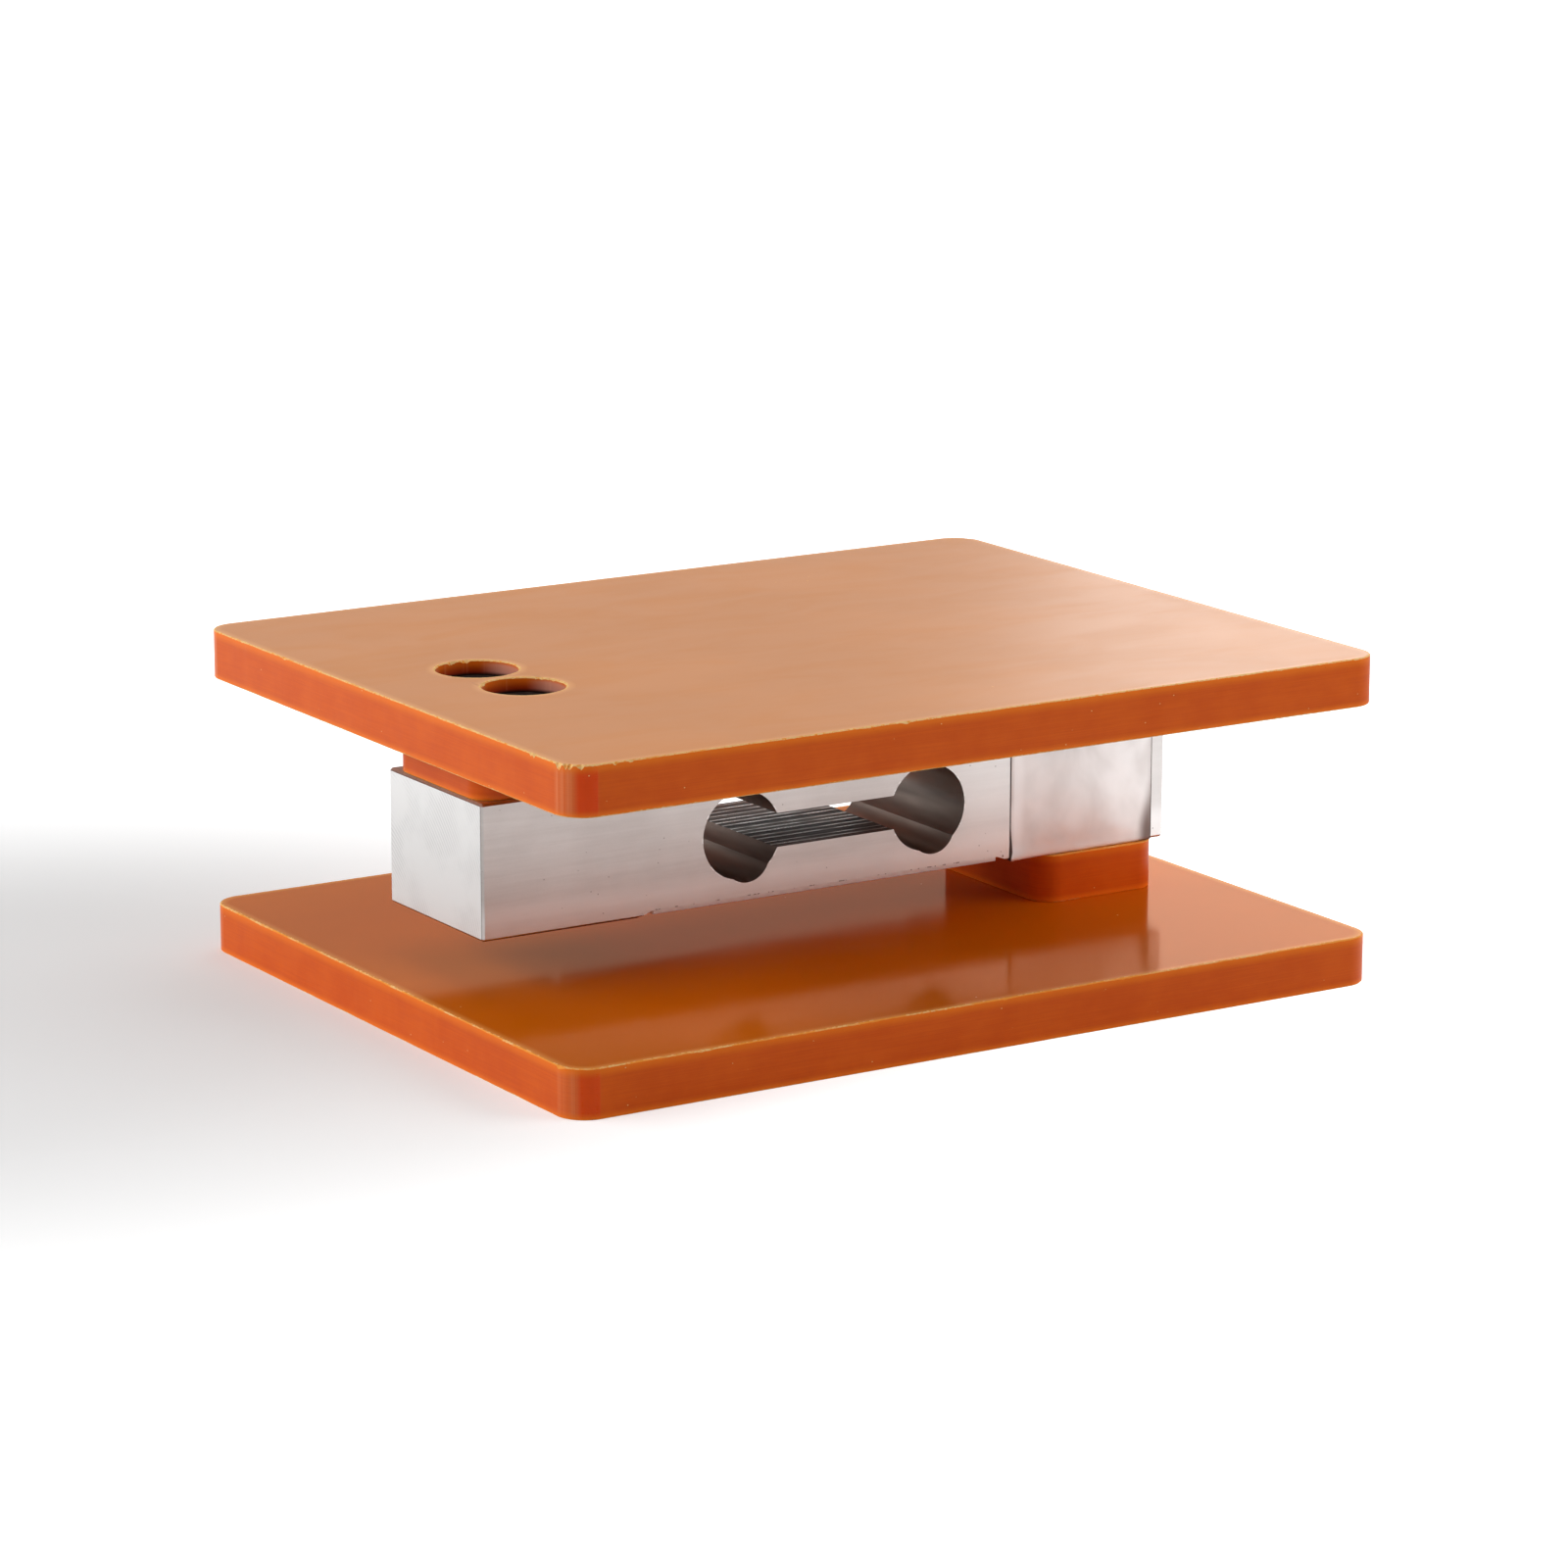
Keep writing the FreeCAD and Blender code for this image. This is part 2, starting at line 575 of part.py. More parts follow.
def make_resistors(label):
    """The chip resistors in a row on the front of the board, clear of the window."""
    group = doc.addObject("Part::Compound", label)
    group.Label = label
    group.Links = [
        make_box(f"resistor_{index}", "resistor_length", "resistor_height", "resistor_width",
                 f"{POCKET_MIDDLE} + {index} * resistor_pitch - resistor_length / 2",
                 f"{POCKET_FLOOR} - board_thickness - resistor_height",
                 f"{BEAM_MIDDLE} + {POCKET_RISE} - resistor_width / 2")
        for index in range(3)
    ]
    return group


def make_potting(label, embedded):
    """The compound that fills the terminal pocket, save for what it embeds and the cable's bore."""
    fill = place(add_body(f"{label}_fill"), y="-beam_width / 2", z=BEAM_MIDDLE)
    for name, x, length, height, depth in pocket_cuts():
        outline = add_sketch(fill, f"{name}_fill_outline", "XZ_Plane", x, POCKET_RISE)
        add_rounded_rectangle(outline, length, height, "pocket_corner_radius")
        add_pad(fill, f"{name}_fill", outline, depth, backwards=True)
    add_hole(fill, "cable_room", "YZ_Plane", "cable_bore", "beam_width / 2", POCKET_RISE, "beam_length / 2",
             length=CABLE_BORE_LENGTH)
    return make_cut(label, fill, embedded)


def check(items):
    """Stops if any object failed, or if a sub-part has no valid shape."""
    failed = [item.Label for item in doc.Objects if {"Invalid", "Error"} & set(item.State)]
    failed += [item.Label for item in items if item.Shape.isNull() or not item.Shape.isValid()]
    if failed:
        raise RuntimeError("failed: " + ", ".join(failed))


parts = [
    make_plate("base_plate", "0", FIXED_SCREW_X, False),
    make_spacer("base_spacer", "base_spacer_width", BASE_SPACER_X, "plate_thickness", FIXED_SCREW_X),
    make_beam("beam_body"),
    make_spacer("top_spacer", "top_spacer_width", TOP_SPACER_X, BEAM_TOP, LOAD_SCREW_X),
    make_plate("top_plate", TOP_PLATE_BOTTOM, LOAD_SCREW_X, True),
    make_screws("base_screws", FIXED_SCREW_X, COUNTERBORE_DEPTH, 180),
    make_screws("top_screws", LOAD_SCREW_X, TOP_SCREW_SEAT, 0),
    make_wrap("end_wrap"),
]

leads = {}
gauges = {}
gauge_bottoms = {"upper": f"{BEAM_MIDDLE} + {RELIEF_FLOOR}",
                 "lower": f"{BEAM_MIDDLE} - {RELIEF_FLOOR} - gauge_thickness"}
for level, side in (("upper", 1), ("lower", -1)):
    gauges[level] = [
        make_gauge(f"{level}_gauge_{end}_side", x, gauge_bottoms[level])
        for end, x in (("load", "-flexure_spacing / 2"), ("fixed", "flexure_spacing / 2"))
    ]
    leads[level] = make_leads(f"{level}_gauge_leads", side)
    parts += gauges[level] + [leads[level]]
parts.append(make_cover("upper_gauge_cover", f"{BEAM_MIDDLE} + {RELIEF_FLOOR}",
                        gauges["upper"] + [leads["upper"]]))
parts.append(make_cover("lower_gauge_cover", f"{BEAM_MIDDLE} - {RELIEF_FLOOR} - cover_thickness",
                        gauges["lower"] + [leads["lower"]]))

board = make_board("terminal_board")
resistors = make_resistors("board_resistors")
potting = make_potting("pocket_potting", [board, resistors, leads["upper"], leads["lower"]])
parts += [board, resistors, potting]

doc.recompute()
check(parts)
os.makedirs("parts", exist_ok=True)
for part in parts:
    part.Shape.exportStep(f"parts/{part.Label}.step")
    print(part.Label, len(part.Shape.Solids), round(part.Shape.Volume, 3))
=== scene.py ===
"""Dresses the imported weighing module: laminate plates, a milled beam, a foil wrap and the studio round them.

Sizes are in metres, in the part's own frame. The origin is the centre of the base plate's underside, +X runs
along the beam from its load end to its fixed end, +Y points to the rear and +Z is up.
"""
from __future__ import annotations

import logging
import math
from dataclasses import dataclass, field
from enum import Enum
from typing import Callable, Iterable, Mapping, Sequence, Union

import bpy
from mathutils import Matrix, Vector, noise

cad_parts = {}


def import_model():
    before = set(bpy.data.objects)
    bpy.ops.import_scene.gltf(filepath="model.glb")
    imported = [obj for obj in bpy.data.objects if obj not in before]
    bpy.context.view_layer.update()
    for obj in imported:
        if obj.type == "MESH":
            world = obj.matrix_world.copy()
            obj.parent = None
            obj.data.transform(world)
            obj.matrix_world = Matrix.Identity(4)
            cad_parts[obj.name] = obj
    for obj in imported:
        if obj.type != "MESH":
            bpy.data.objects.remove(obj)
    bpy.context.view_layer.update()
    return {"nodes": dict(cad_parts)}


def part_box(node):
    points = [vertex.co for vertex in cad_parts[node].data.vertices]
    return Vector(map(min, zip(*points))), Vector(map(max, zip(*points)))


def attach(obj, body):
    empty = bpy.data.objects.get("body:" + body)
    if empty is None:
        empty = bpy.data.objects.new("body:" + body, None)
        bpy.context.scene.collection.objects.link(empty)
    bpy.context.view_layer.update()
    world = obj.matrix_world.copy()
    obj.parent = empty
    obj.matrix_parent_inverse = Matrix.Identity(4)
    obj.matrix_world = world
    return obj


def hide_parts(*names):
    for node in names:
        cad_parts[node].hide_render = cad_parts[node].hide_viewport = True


LOG = logging.getLogger("weighing_module")
BODY = "root"
MM = 0.001
ON_LEVEL = 0.01 * MM
NEAR_RIM = 0.02 * MM

Colour = tuple[float, float, float]
Input = Union["Value", float, Sequence[float]]


def _operator(operation: str, reflected: bool = False) -> Callable[..., "Value"]:
    """Makes one of Value's operators.

    Args:
        operation: the operation of the Math node that it adds.
        reflected: whether the other term comes first.

    Returns:
        The operator.
    """
    def operator(value: "Value", *others: Input) -> "Value":
        """Adds the Math node on a value and the other term, where there is one."""
        terms = (*others, value) if reflected else (value, *others)
        return value.tree.node("ShaderNodeMath", {"operation": operation}, dict(enumerate(terms)))
    return operator


class Value:
    """A node's output socket. Python's operators on it add Math nodes to its tree.

    Comparisons give 1 or 0, and | and & give the greater and the lesser of two masks.
    """

    __add__ = _operator("ADD")
    __sub__ = _operator("SUBTRACT")
    __rsub__ = _operator("SUBTRACT", reflected=True)
    __mul__ = _operator("MULTIPLY")
    __truediv__ = _operator("DIVIDE")
    __pow__ = _operator("POWER")
    __lt__ = _operator("LESS_THAN")
    __gt__ = _operator("GREATER_THAN")
    __or__ = _operator("MAXIMUM")
    __and__ = _operator("MINIMUM")
    __abs__ = _operator("ABSOLUTE")
    root = _operator("SQRT")
    sine = _operator("SINE")

    def __init__(self, tree: "NodeTree", socket: bpy.types.NodeSocket) -> None:
        """Keeps the socket with the tree that it belongs to."""
        self.tree = tree
        self.socket = socket

    def wave(self) -> "Value":
        """The sine of this value, moved to run from 0 to 1."""
        return self.sine() * 0.5 + 0.5

    def step(self, low: float, high: float) -> "Value":
        """A smooth step between two levels.

        Args:
            low: where the step is 0.
            high: where it is 1, above low or under it.

        Returns:
            The step, from 0 to 1.
        """
        span = {"From Min": min(low, high), "From Max": max(low, high)}
        ends = {"To Min": 0.0, "To Max": 1.0} if low < high else {"To Min": 1.0, "To Max": 0.0}
        settings = {"interpolation_type": "SMOOTHSTEP"}
        return self.tree.node("ShaderNodeMapRange", settings, {"Value": self, **span, **ends})


class NodeTree:
    """A set of shader nodes, and the ways that finishes add to it."""

    def __init__(self, tree: bpy.types.NodeTree) -> None:
        """Keeps Blender's own tree, and starts it with the object coordinates."""
        self.tree = tree
        self.place = self.node("ShaderNodeTexCoord", output="Object")

    def node(self, kind: str, settings: Mapping[str, object] | None = None,
             inputs: Mapping[str | int, Input] | None = None, output: str | int = 0) -> Value:
        """Adds a node.

        Args:
            kind: the node's type.
            settings: its own properties, which are set first.
            inputs: the values or links of its sockets, by name or number.
            output: the socket to give back, by name or number.

        Returns:
            The output socket.
        """
        made = self.tree.nodes.new(kind)
        for name, setting in (settings or {}).items():
            setattr(made, name, setting)
        for name, given in (inputs or {}).items():
            self.feed(made.inputs[name], given)
        return Value(self, made.outputs[output])

    def feed(self, socket: bpy.types.NodeSocket, given: Input) -> None:
        """Links a value to a socket, or sets the socket's own number or colour.

        Args:
            socket: the input socket.
            given: what it gets.
        """
        if isinstance(given, Value):
            self.tree.links.new(given.socket, socket)
        elif socket.type == "RGBA" and len(given) == 3:
            socket.default_value = (*given, 1.0)
        else:
            socket.default_value = given

    def dress(self, **sockets: Input) -> None:
        """Feeds the Principled shader.

        Args:
            sockets: what each socket gets, with an underscore for each space in its name.
        """
        shader = self.tree.nodes["Principled BSDF"]
        for name, given in sockets.items():
            self.feed(shader.inputs[name.replace("_", " ")], given)

    def axes(self) -> tuple[Value, Value, Value]:
        """The three object coordinates."""
        split = {"Vector": self.place}
        return tuple(self.node("ShaderNodeSeparateXYZ", None, split, axis) for axis in "XYZ")

    def facing(self) -> tuple[Value, Value, Value]:
        """The three parts of the surface's own direction."""
        split = {"Vector": self.node("ShaderNodeTexCoord", output="Normal")}
        return tuple(self.node("ShaderNodeSeparateXYZ", None, split, axis) for axis in "XYZ")

    def seen_by(self) -> tuple[Value, Value, Value]:
        """1 for a ray from the camera, from a reflection, and from a clear material."""
        rays = ("Is Camera Ray", "Is Glossy Ray", "Is Transmission Ray")
        return tuple(self.node("ShaderNodeLightPath", output=ray) for ray in rays)

    def stretched(self, scale: Sequence[float], shift: Sequence[float] = (0.0, 0.0, 0.0),
                  turn: Sequence[float] = (0.0, 0.0, 0.0)) -> Value:
        """Object coordinates moved, turned and scaled by axis."""
        return self.node("ShaderNodeMapping", None,
                         {"Vector": self.place, "Location": shift, "Rotation": turn, "Scale": scale})

    def clouds(self, scale: float, detail: float = 3.0, roughness: float = 0.5, at: Value | None = None,
               distortion: float = 0.0) -> Value:
        """Fractal noise.

        Args:
            scale: how fine it is.
            detail: how many finer layers it adds.
            roughness: how strong those layers are.
            at: coordinates in place of the object's own.
            distortion: how far it is warped.

        Returns:
            The noise, from 0 to 1.
        """
        return self.node("ShaderNodeTexNoise", None,
                         {"Vector": at or self.place, "Scale": scale, "Detail": detail,
                          "Roughness": roughness, "Distortion": distortion})

    def specks(self, scale: float, at: Value | None = None) -> Value:
        """The distance to the nearest of a scatter of points."""
        inputs = {"Vector": at or self.place, "Scale": scale}
        return self.node("ShaderNodeTexVoronoi", None, inputs, "Distance")

    def blend(self, factor: Input, first: Input, second: Input) -> Value:
        """A colour between two others."""
        first, second = ((*given, 1.0) if isinstance(given, tuple) else given for given in (first, second))
        return self.node("ShaderNodeMix", {"data_type": "RGBA"}, {0: factor, 6: first, 7: second}, 2)

    def relief(self, height: Value, depth: float, strength: float = 1.0, under: Value | None = None) -> Value:
        """A bumped surface direction.

        Args:
            height: the bump's height, from 0 to 1.
            depth: what a height of 1 stands for, in metres.
            strength: how much of the bump shows.
            under: another bump that it lies on.

        Returns:
            The direction.
        """
        inputs = {"Height": height, "Distance": depth, "Strength": strength}
        if under is not None:
            inputs["Normal"] = under
        return self.node("ShaderNodeBump", None, inputs)


@dataclass(frozen=True)
class Finish:
    """A surface finish that makes its own material."""

    name: str

    def material(self) -> bpy.types.Material:
        """Builds the material.

        Returns:
            A material with the finish's nodes.
        """
        material = bpy.data.materials.new(self.name)
        material.use_nodes = True
        self.paint(NodeTree(material.node_tree))
        return material

    def paint(self, tree: NodeTree) -> None:
        """Adds the finish's nodes to a material's tree."""
        raise NotImplementedError


@dataclass(frozen=True)
class LaminateShape:
    """The outline of a laminate block, as its finishes need it to find the rims."""

    low: tuple[float, float, float]
    high: tuple[float, float, float]
    corner_radius: float
    screw_x: float
    screw_y: float
    hole_radius: float
    mouth: float

    def past_corner(self, tree: NodeTree) -> tuple[Value, Value]:
        """How far a point lies past the start of the rounded corners.

        Args:
            tree: the material's nodes.

        Returns:
            The distance along X, and the one along Y.
        """
        past = []
        for value, low, high in zip(tree.axes(), self.low[:2], self.high[:2]):
            start = (high - low) / 2 - self.corner_radius
            past.append((abs(value - (low + high) / 2) - start) | 0.0)
        return past[0], past[1]

    def rim_gap(self, tree: NodeTree) -> Value:
        """The distance to the outer rim, as far in as the corner radius."""
        past_x, past_y = self.past_corner(tree)
        return self.corner_radius - (past_x ** 2.0 + past_y ** 2.0).root()

    def hole_gap(self, tree: NodeTree) -> Value:
        """The distance to the rim of the nearer screw hole."""
        x, y, _ = tree.axes()
        return ((x - self.screw_x) ** 2.0 + (abs(y) - self.screw_y) ** 2.0).root() - self.hole_radius


@dataclass(frozen=True)
class PressedFace(Finish):
    """The laminate's resin-rich faces as they leave the press: smooth, with a painted glow near their rims for
    light that shows through them.
    """

    shape: LaminateShape
    roughness: float
    resin: Colour
    ior: float
    amber: float
    tint: Colour = (1.0, 0.75, 0.25)
    glow: Colour = (0.95, 0.40, 0.09)
    dust: Colour = (1.0, 0.62, 0.23)
    glow_reach: float = 0.0018
    hole_fray: float = 0.00024
    rim_fray: float = 0.00030
    pale_share: float = 1.07

    def paint(self, tree: NodeTree) -> None:
        """Adds the finish's nodes.

        Args:
            tree: the material's nodes.
        """
        cloud = tree.clouds(26.0, 4.0, 0.55)
        orange_peel = tree.clouds(420.0, 2.0, 0.5)
        scuffs = tree.clouds(46.0, 5.0, 0.62, tree.stretched((1.0, 2.6, 1.0), turn=(0.0, 0.0, 0.5)), 0.6)
        dust = tree.specks(230.0).step(0.045, 0.02) * (tree.clouds(60.0, 2.0) > 0.62)
        gap = self.shape.rim_gap(tree)
        hole_gap = self.shape.hole_gap(tree)
        # painted glow: the face is lighter and warmer near the outer rim and the hole rims, light through the
        # laminate painted into its colour
        rim = (gap & hole_gap).step(self.glow_reach, 0.0)
        ragged = tree.clouds(1900.0, 2.0, 0.6).step(0.40, 0.62) * self.hole_fray
        dotted = tree.clouds(1300.0, 2.0, 0.6).step(0.48, 0.60) * self.rim_fray
        frayed = (hole_gap - ragged).step(0.30 * MM, 0.16 * MM) | (gap - dotted).step(0.12 * MM, 0.05 * MM)
        pale_resin = tuple(part * self.pale_share for part in self.resin)
        colour = tree.blend(cloud.step(0.3, 0.7), self.resin, pale_resin)
        colour = tree.blend(rim * 0.75, colour, self.glow)
        tree.dress(Base_Color=tree.blend((dust * 0.8) | frayed, colour, self.dust),
                   Roughness=scuffs.step(0.35, 0.75) * 0.05 + (dust | frayed) * 0.3 + self.roughness,
                   Metallic=self.amber,
                   Normal=tree.relief(orange_peel, 0.0010 * MM, 0.5),
                   Specular_Tint=self.tint,
                   IOR=self.ior)


@dataclass(frozen=True)
class SawnSide(Finish):
    """The machined sides of the laminate, with its paper layers and the cutter's upright marks."""

    shape: LaminateShape
    # how strongly the painted corner shade and the painted corner streaks show
    corner_paint: float
    core: Colour = (0.78, 0.122, 0.005)
    dark_layer: Colour = (0.70, 0.094, 0.003)
    corner_shade: Colour = (0.88, 0.058, 0.0005)
    glow: Colour = (1.0, 0.22, 0.009)
    fibre: Colour = (1.0, 0.64, 0.28)
    streak: Colour = (0.90, 0.32, 0.15)
    drilled: Colour = (0.80, 0.150, 0.006)
    deep: Colour = (0.36, 0.030, 0.002)
    hole_shadow: Colour = (0.012, 0.006, 0.004)
    wall_reflection: Colour = (0.66, 0.34, 0.26)
    glow_low: float = 0.0012
    glow_high: float = 0.0018

    def paint(self, tree: NodeTree) -> None:
        """Adds the finish's nodes.

        Args:
            tree: the material's nodes.
        """
        x, _, z = tree.axes()
        layers = tree.clouds(60.0, 4.0, 0.7, tree.stretched((0.35, 0.35, 60.0)))
        fine_layers = tree.clouds(260.0, 3.0, 0.6, tree.stretched((0.5, 0.5, 22.0)))
        cutter = tree.clouds(900.0, 2.0, 0.6, tree.stretched((1.0, 1.0, 0.012)))
        blotch = tree.clouds(120.0, 4.0, 0.6)
        speckle = tree.specks(900.0).step(0.12, 0.05) * (tree.clouds(160.0, 2.0) > 0.54)
        fibres = tree.specks(300.0, tree.stretched((1.0, 1.0, 1.4))).step(0.045, 0.025)
        # painted glow: the sides are lighter and warmer just under the upper rim and just over the lower rim,
        # light through the laminate painted into their colour
        over = (z - self.shape.low[2]).step(self.glow_low, 0.0)
        over = over | (self.shape.high[2] - z).step(self.glow_high, 0.0)
        # painted shade: on the load side, the part of each rounded corner's arc nearer the front face is
        # painted a darker, deeper red; it is also made smoother there
        past_x, past_y = self.shape.past_corner(tree)
        corner = (past_x & past_y).step(0.0, 0.10 * self.shape.corner_radius) * (x < 0.0)
        turned = past_y / (past_x + past_y + 0.01 * MM)
        rubbed_and_shaded = corner * turned.step(0.46, 0.58) * turned.step(1.0, 0.94)
        upright = tree.clouds(1300.0, 3.0, 0.65, tree.stretched((1.0, 1.0, 0.004)))
        # painted highlights: lighter upright streaks round the rest of each load-side rounded corner
        corner_sheen = corner * (1.0 - rubbed_and_shaded) * (upright.step(0.42, 0.75) * 0.6 + 0.25)
        tone = layers * 0.25 + fine_layers * 0.30 + blotch * 0.45
        colour = tree.blend(tone.step(0.36, 0.64), self.dark_layer, self.core)
        colour = tree.blend(rubbed_and_shaded * self.corner_paint, colour, self.corner_shade)
        colour = tree.blend(corner_sheen * self.corner_paint, colour, self.streak)
        colour = tree.blend(over * 0.8, colour, self.glow)
        colour = tree.blend(speckle * 0.6, colour, self.dark_layer)
        colour = tree.blend(fibres * 0.9, colour, self.fibre)
        # painted shade: the hole walls darken with depth below the mouth
        depth = abs(z - self.shape.mouth)
        wall = tree.blend(depth.step(0.2 * MM, 1.9 * MM), self.drilled, self.deep)
        wall = tree.blend(upright.step(0.55, 0.75) * 0.35, wall, self.streak)
        # painted reflection: the walls at the two ends of each hole are paler and pinker just below the mouth
        ends = (abs(x - self.shape.screw_x) / self.shape.hole_radius).step(0.50, 0.95)
        wall = tree.blend(ends * depth.step(0.1 * MM, 0.8 * MM) * 0.6, wall, self.wall_reflection)
        # painted shade: near black from about 2 mm down in the hole
        wall = tree.blend(depth.step(1.7 * MM, 2.4 * MM), wall, self.hole_shadow)
        colour = tree.blend(self.shape.hole_gap(tree) < 0.4 * MM, colour, wall)
        height = fine_layers * 0.4 + cutter * 0.4 + blotch * 0.2
        tree.dress(Base_Color=colour,
                   Roughness=cutter * 0.12 + fine_layers * 0.10 + 0.28 - rubbed_and_shaded * 0.10,
                   Normal=tree.relief(height, 0.008 * MM, 0.6),
                   Specular_IOR_Level=0.17,
                   IOR=1.5)


@dataclass(frozen=True)
class BrokenEdge(Finish):
    """The torn corners of the laminate, where its fibres stand up pale."""

    shape: LaminateShape
    fray: float
    pale: Colour = (1.0, 0.63, 0.24)
    warm: Colour = (1.0, 0.36, 0.035)

    def paint(self, tree: NodeTree) -> None:
        """Adds the finish's nodes.

        Args:
            tree: the material's nodes.
        """
        tear = tree.clouds(1500.0, 3.0, 0.7)
        stretch = tree.clouds(140.0, 3.0, 0.6)
        drilled = self.shape.hole_gap(tree).step(1.4 * MM, 1.0 * MM)
        mix = tear.step(0.36, 0.52) * (stretch.step(0.75 - self.fray, 0.90 - self.fray) | drilled)
        tree.dress(Base_Color=tree.blend(mix, self.warm, self.pale),
                   Roughness=tear * 0.2 + 0.6,
                   Normal=tree.relief(tear, 0.05 * MM, 0.8),
                   IOR=1.4)


@dataclass(frozen=True)
class MilledAluminium(Finish):
    """The beam: fine matte sides, end faces milled in arcs, and a darker cut-out with a ribbed slot."""

    middle: float = 0.0272
    half_length: float = 0.065
    bore_offset: float = 0.01775
    bore_radius: float = 0.0072
    trim_shift: float = 0.001
    trim_rise: float = 0.0037
    trim_radius: float = 0.0042
    slot_half: float = 0.0028
    relief_edge: float = 0.0171
    foot: float = 0.0162
    strip_half: float = 0.035
    sweep_y: float = 0.030
    sweep_z: float = 0.002
    arc_rate: float = 9000.0
    rib_rate: float = 3000.0
    # where the painted highlight on the matte sides fades in, up from the foot and along X
    painted_light_z: tuple[float, float] = (0.007, 0.003)
    painted_light_x: tuple[float, float] = (0.008, 0.032)
    milled: Colour = (0.97, 0.965, 0.955)
    scored: Colour = (0.78, 0.775, 0.77)
    bright: Colour = (0.63, 0.59, 0.57)
    dull: Colour = (0.46, 0.415, 0.395)
    painted_light: Colour = (0.90, 0.88, 0.87)
    cut: Colour = (0.36, 0.28, 0.235)
    painted_glint: Colour = (0.62, 0.59, 0.55)
    rib_dark: Colour = (0.02, 0.016, 0.014)
    rib_mid: Colour = (0.42, 0.395, 0.37)
    rib_light: Colour = (1.0, 0.98, 0.95)
    bore_dark: Colour = (0.12, 0.085, 0.068)
    # dark grime for the pits and specks, also used as painted shade along the lower edge
    grime_and_shade: Colour = (0.09, 0.070, 0.060)

    def paint(self, tree: NodeTree) -> None:
        """Adds the finish's nodes.

        Args:
            tree: the material's nodes.
        """
        x, y, z = tree.axes()
        facing_x, facing_y, _ = tree.facing()
        rise = abs(z - self.middle)
        aside = abs(x) - self.bore_offset
        near = 0.04 * MM
        from_bore = (aside ** 2.0 + rise ** 2.0).root() - self.bore_radius
        trim_aside = abs(x - self.trim_shift) - self.bore_offset
        from_trim = (trim_aside ** 2.0 + (self.middle - z - self.trim_rise) ** 2.0).root() - self.trim_radius
        slot = (rise < self.slot_half + near) & (abs(x) < self.bore_offset)
        inside = ((from_bore < near) | (from_trim < near) | slot) & (abs(facing_y) < 0.5)
        end = (abs(facing_x) > 0.9) & (abs(x) > self.half_length - 0.1 * MM)

        grain = tree.clouds(2600.0, 2.0, 0.6)
        streak = tree.clouds(1500.0, 3.0, 0.6, tree.stretched((0.05, 1.0, 1.0)))
        pits = tree.specks(620.0).step(0.10, 0.05) * (tree.clouds(220.0, 3.0) > 0.53)
        patch = tree.clouds(60.0, 3.0, 0.55)
        matte = tree.blend(patch.step(0.3, 0.7) * 0.45 + streak.step(0.2, 0.8) * 0.30 + grain * 0.25,
                           self.dull, self.bright)
        # painted highlight: the matte sides are lighter towards the lower edge and towards the fixed end
        painted_light = (z - self.foot).step(*self.painted_light_z) * 0.45 + x.step(*self.painted_light_x) * 0.40
        matte = tree.blend(painted_light, matte, self.painted_light)
        matte = tree.blend(pits * 0.45, matte, self.grime_and_shade)
        burrs = (from_bore & from_trim).step(0.22 * MM, 0.05 * MM)
        burrs = burrs * tree.clouds(1100.0, 2.0, 0.6).step(0.52, 0.60)
        matte = tree.blend(burrs * 0.8, matte, self.milled)
        dots = tree.clouds(900.0, 2.0, 0.6, tree.stretched((1.0, 1.0, 0.4))).step(0.58, 0.63)
        dots = dots * abs(z - self.relief_edge).step(0.22 * MM, 0.12 * MM) * (abs(x) < self.strip_half)
        matte = tree.blend(dots * 0.8, matte, self.grime_and_shade)
        # darker along the beam's end corners, and painted shade along the beam's lower edge and on its
        # underside at that level
        edge = (self.half_length - abs(x)).step(0.15 * MM, 0.06 * MM) * 0.5
        edge = edge | (z - self.foot).step(0.24 * MM, 0.10 * MM) * 0.8
        matte = tree.blend(edge, matte, self.grime_and_shade)

        sweep = ((y - self.sweep_y) ** 2.0 + (z - self.sweep_z) ** 2.0).root()
        arcs = (sweep * self.arc_rate + tree.clouds(90.0, 2.0) * 5.0).wave()
        arcs = arcs * tree.clouds(120.0, 3.0).step(0.40, 0.65)

        along = tree.stretched((0.004, 1.0, 0.0))
        band = tree.clouds(230.0, 3.0, 0.7, along).step(0.36, 0.62)
        dash = tree.clouds(1800.0, 1.0, 0.5, tree.stretched((0.12, 1.0, 0.0))).step(0.36, 0.56)
        # striations across the slot floor, with painted highlights along the ridges and painted shade between
        # them
        ribs = (y * self.rib_rate + tree.clouds(300.0, 2.0, 0.6, along) * 7.0).wave().step(0.72, 0.95)
        ribs = ribs * (dash * 0.5 + 0.5)
        shaded = y.step(0.0, -0.012) * 0.55
        ribbed = tree.blend(band * (1.0 - shaded), self.rib_dark, self.rib_mid)
        ribbed = tree.blend(ribs * (1.0 - shaded), ribbed, self.rib_light)
        # the bore walls are dark brown-grey, darker in patches
        burnish = tree.clouds(180.0, 3.0, 0.5, tree.stretched((1.0, 0.15, 1.0)))
        bored = tree.blend(burnish.step(0.3, 0.75), self.bore_dark, self.cut)
        height = z - self.middle
        # painted highlight: a lighter band on the bore walls that face the load end, from just below the
        # middle to about 6 mm above it
        glint_band = height.step(-1.5 * MM, 2.0 * MM) * height.step(6.0 * MM, 3.0 * MM) * (facing_x < 0.0)
        bored = tree.blend(glint_band * (burnish * 0.6 + 0.3), bored, self.painted_glint)
        cavity = tree.blend(slot, bored, ribbed)

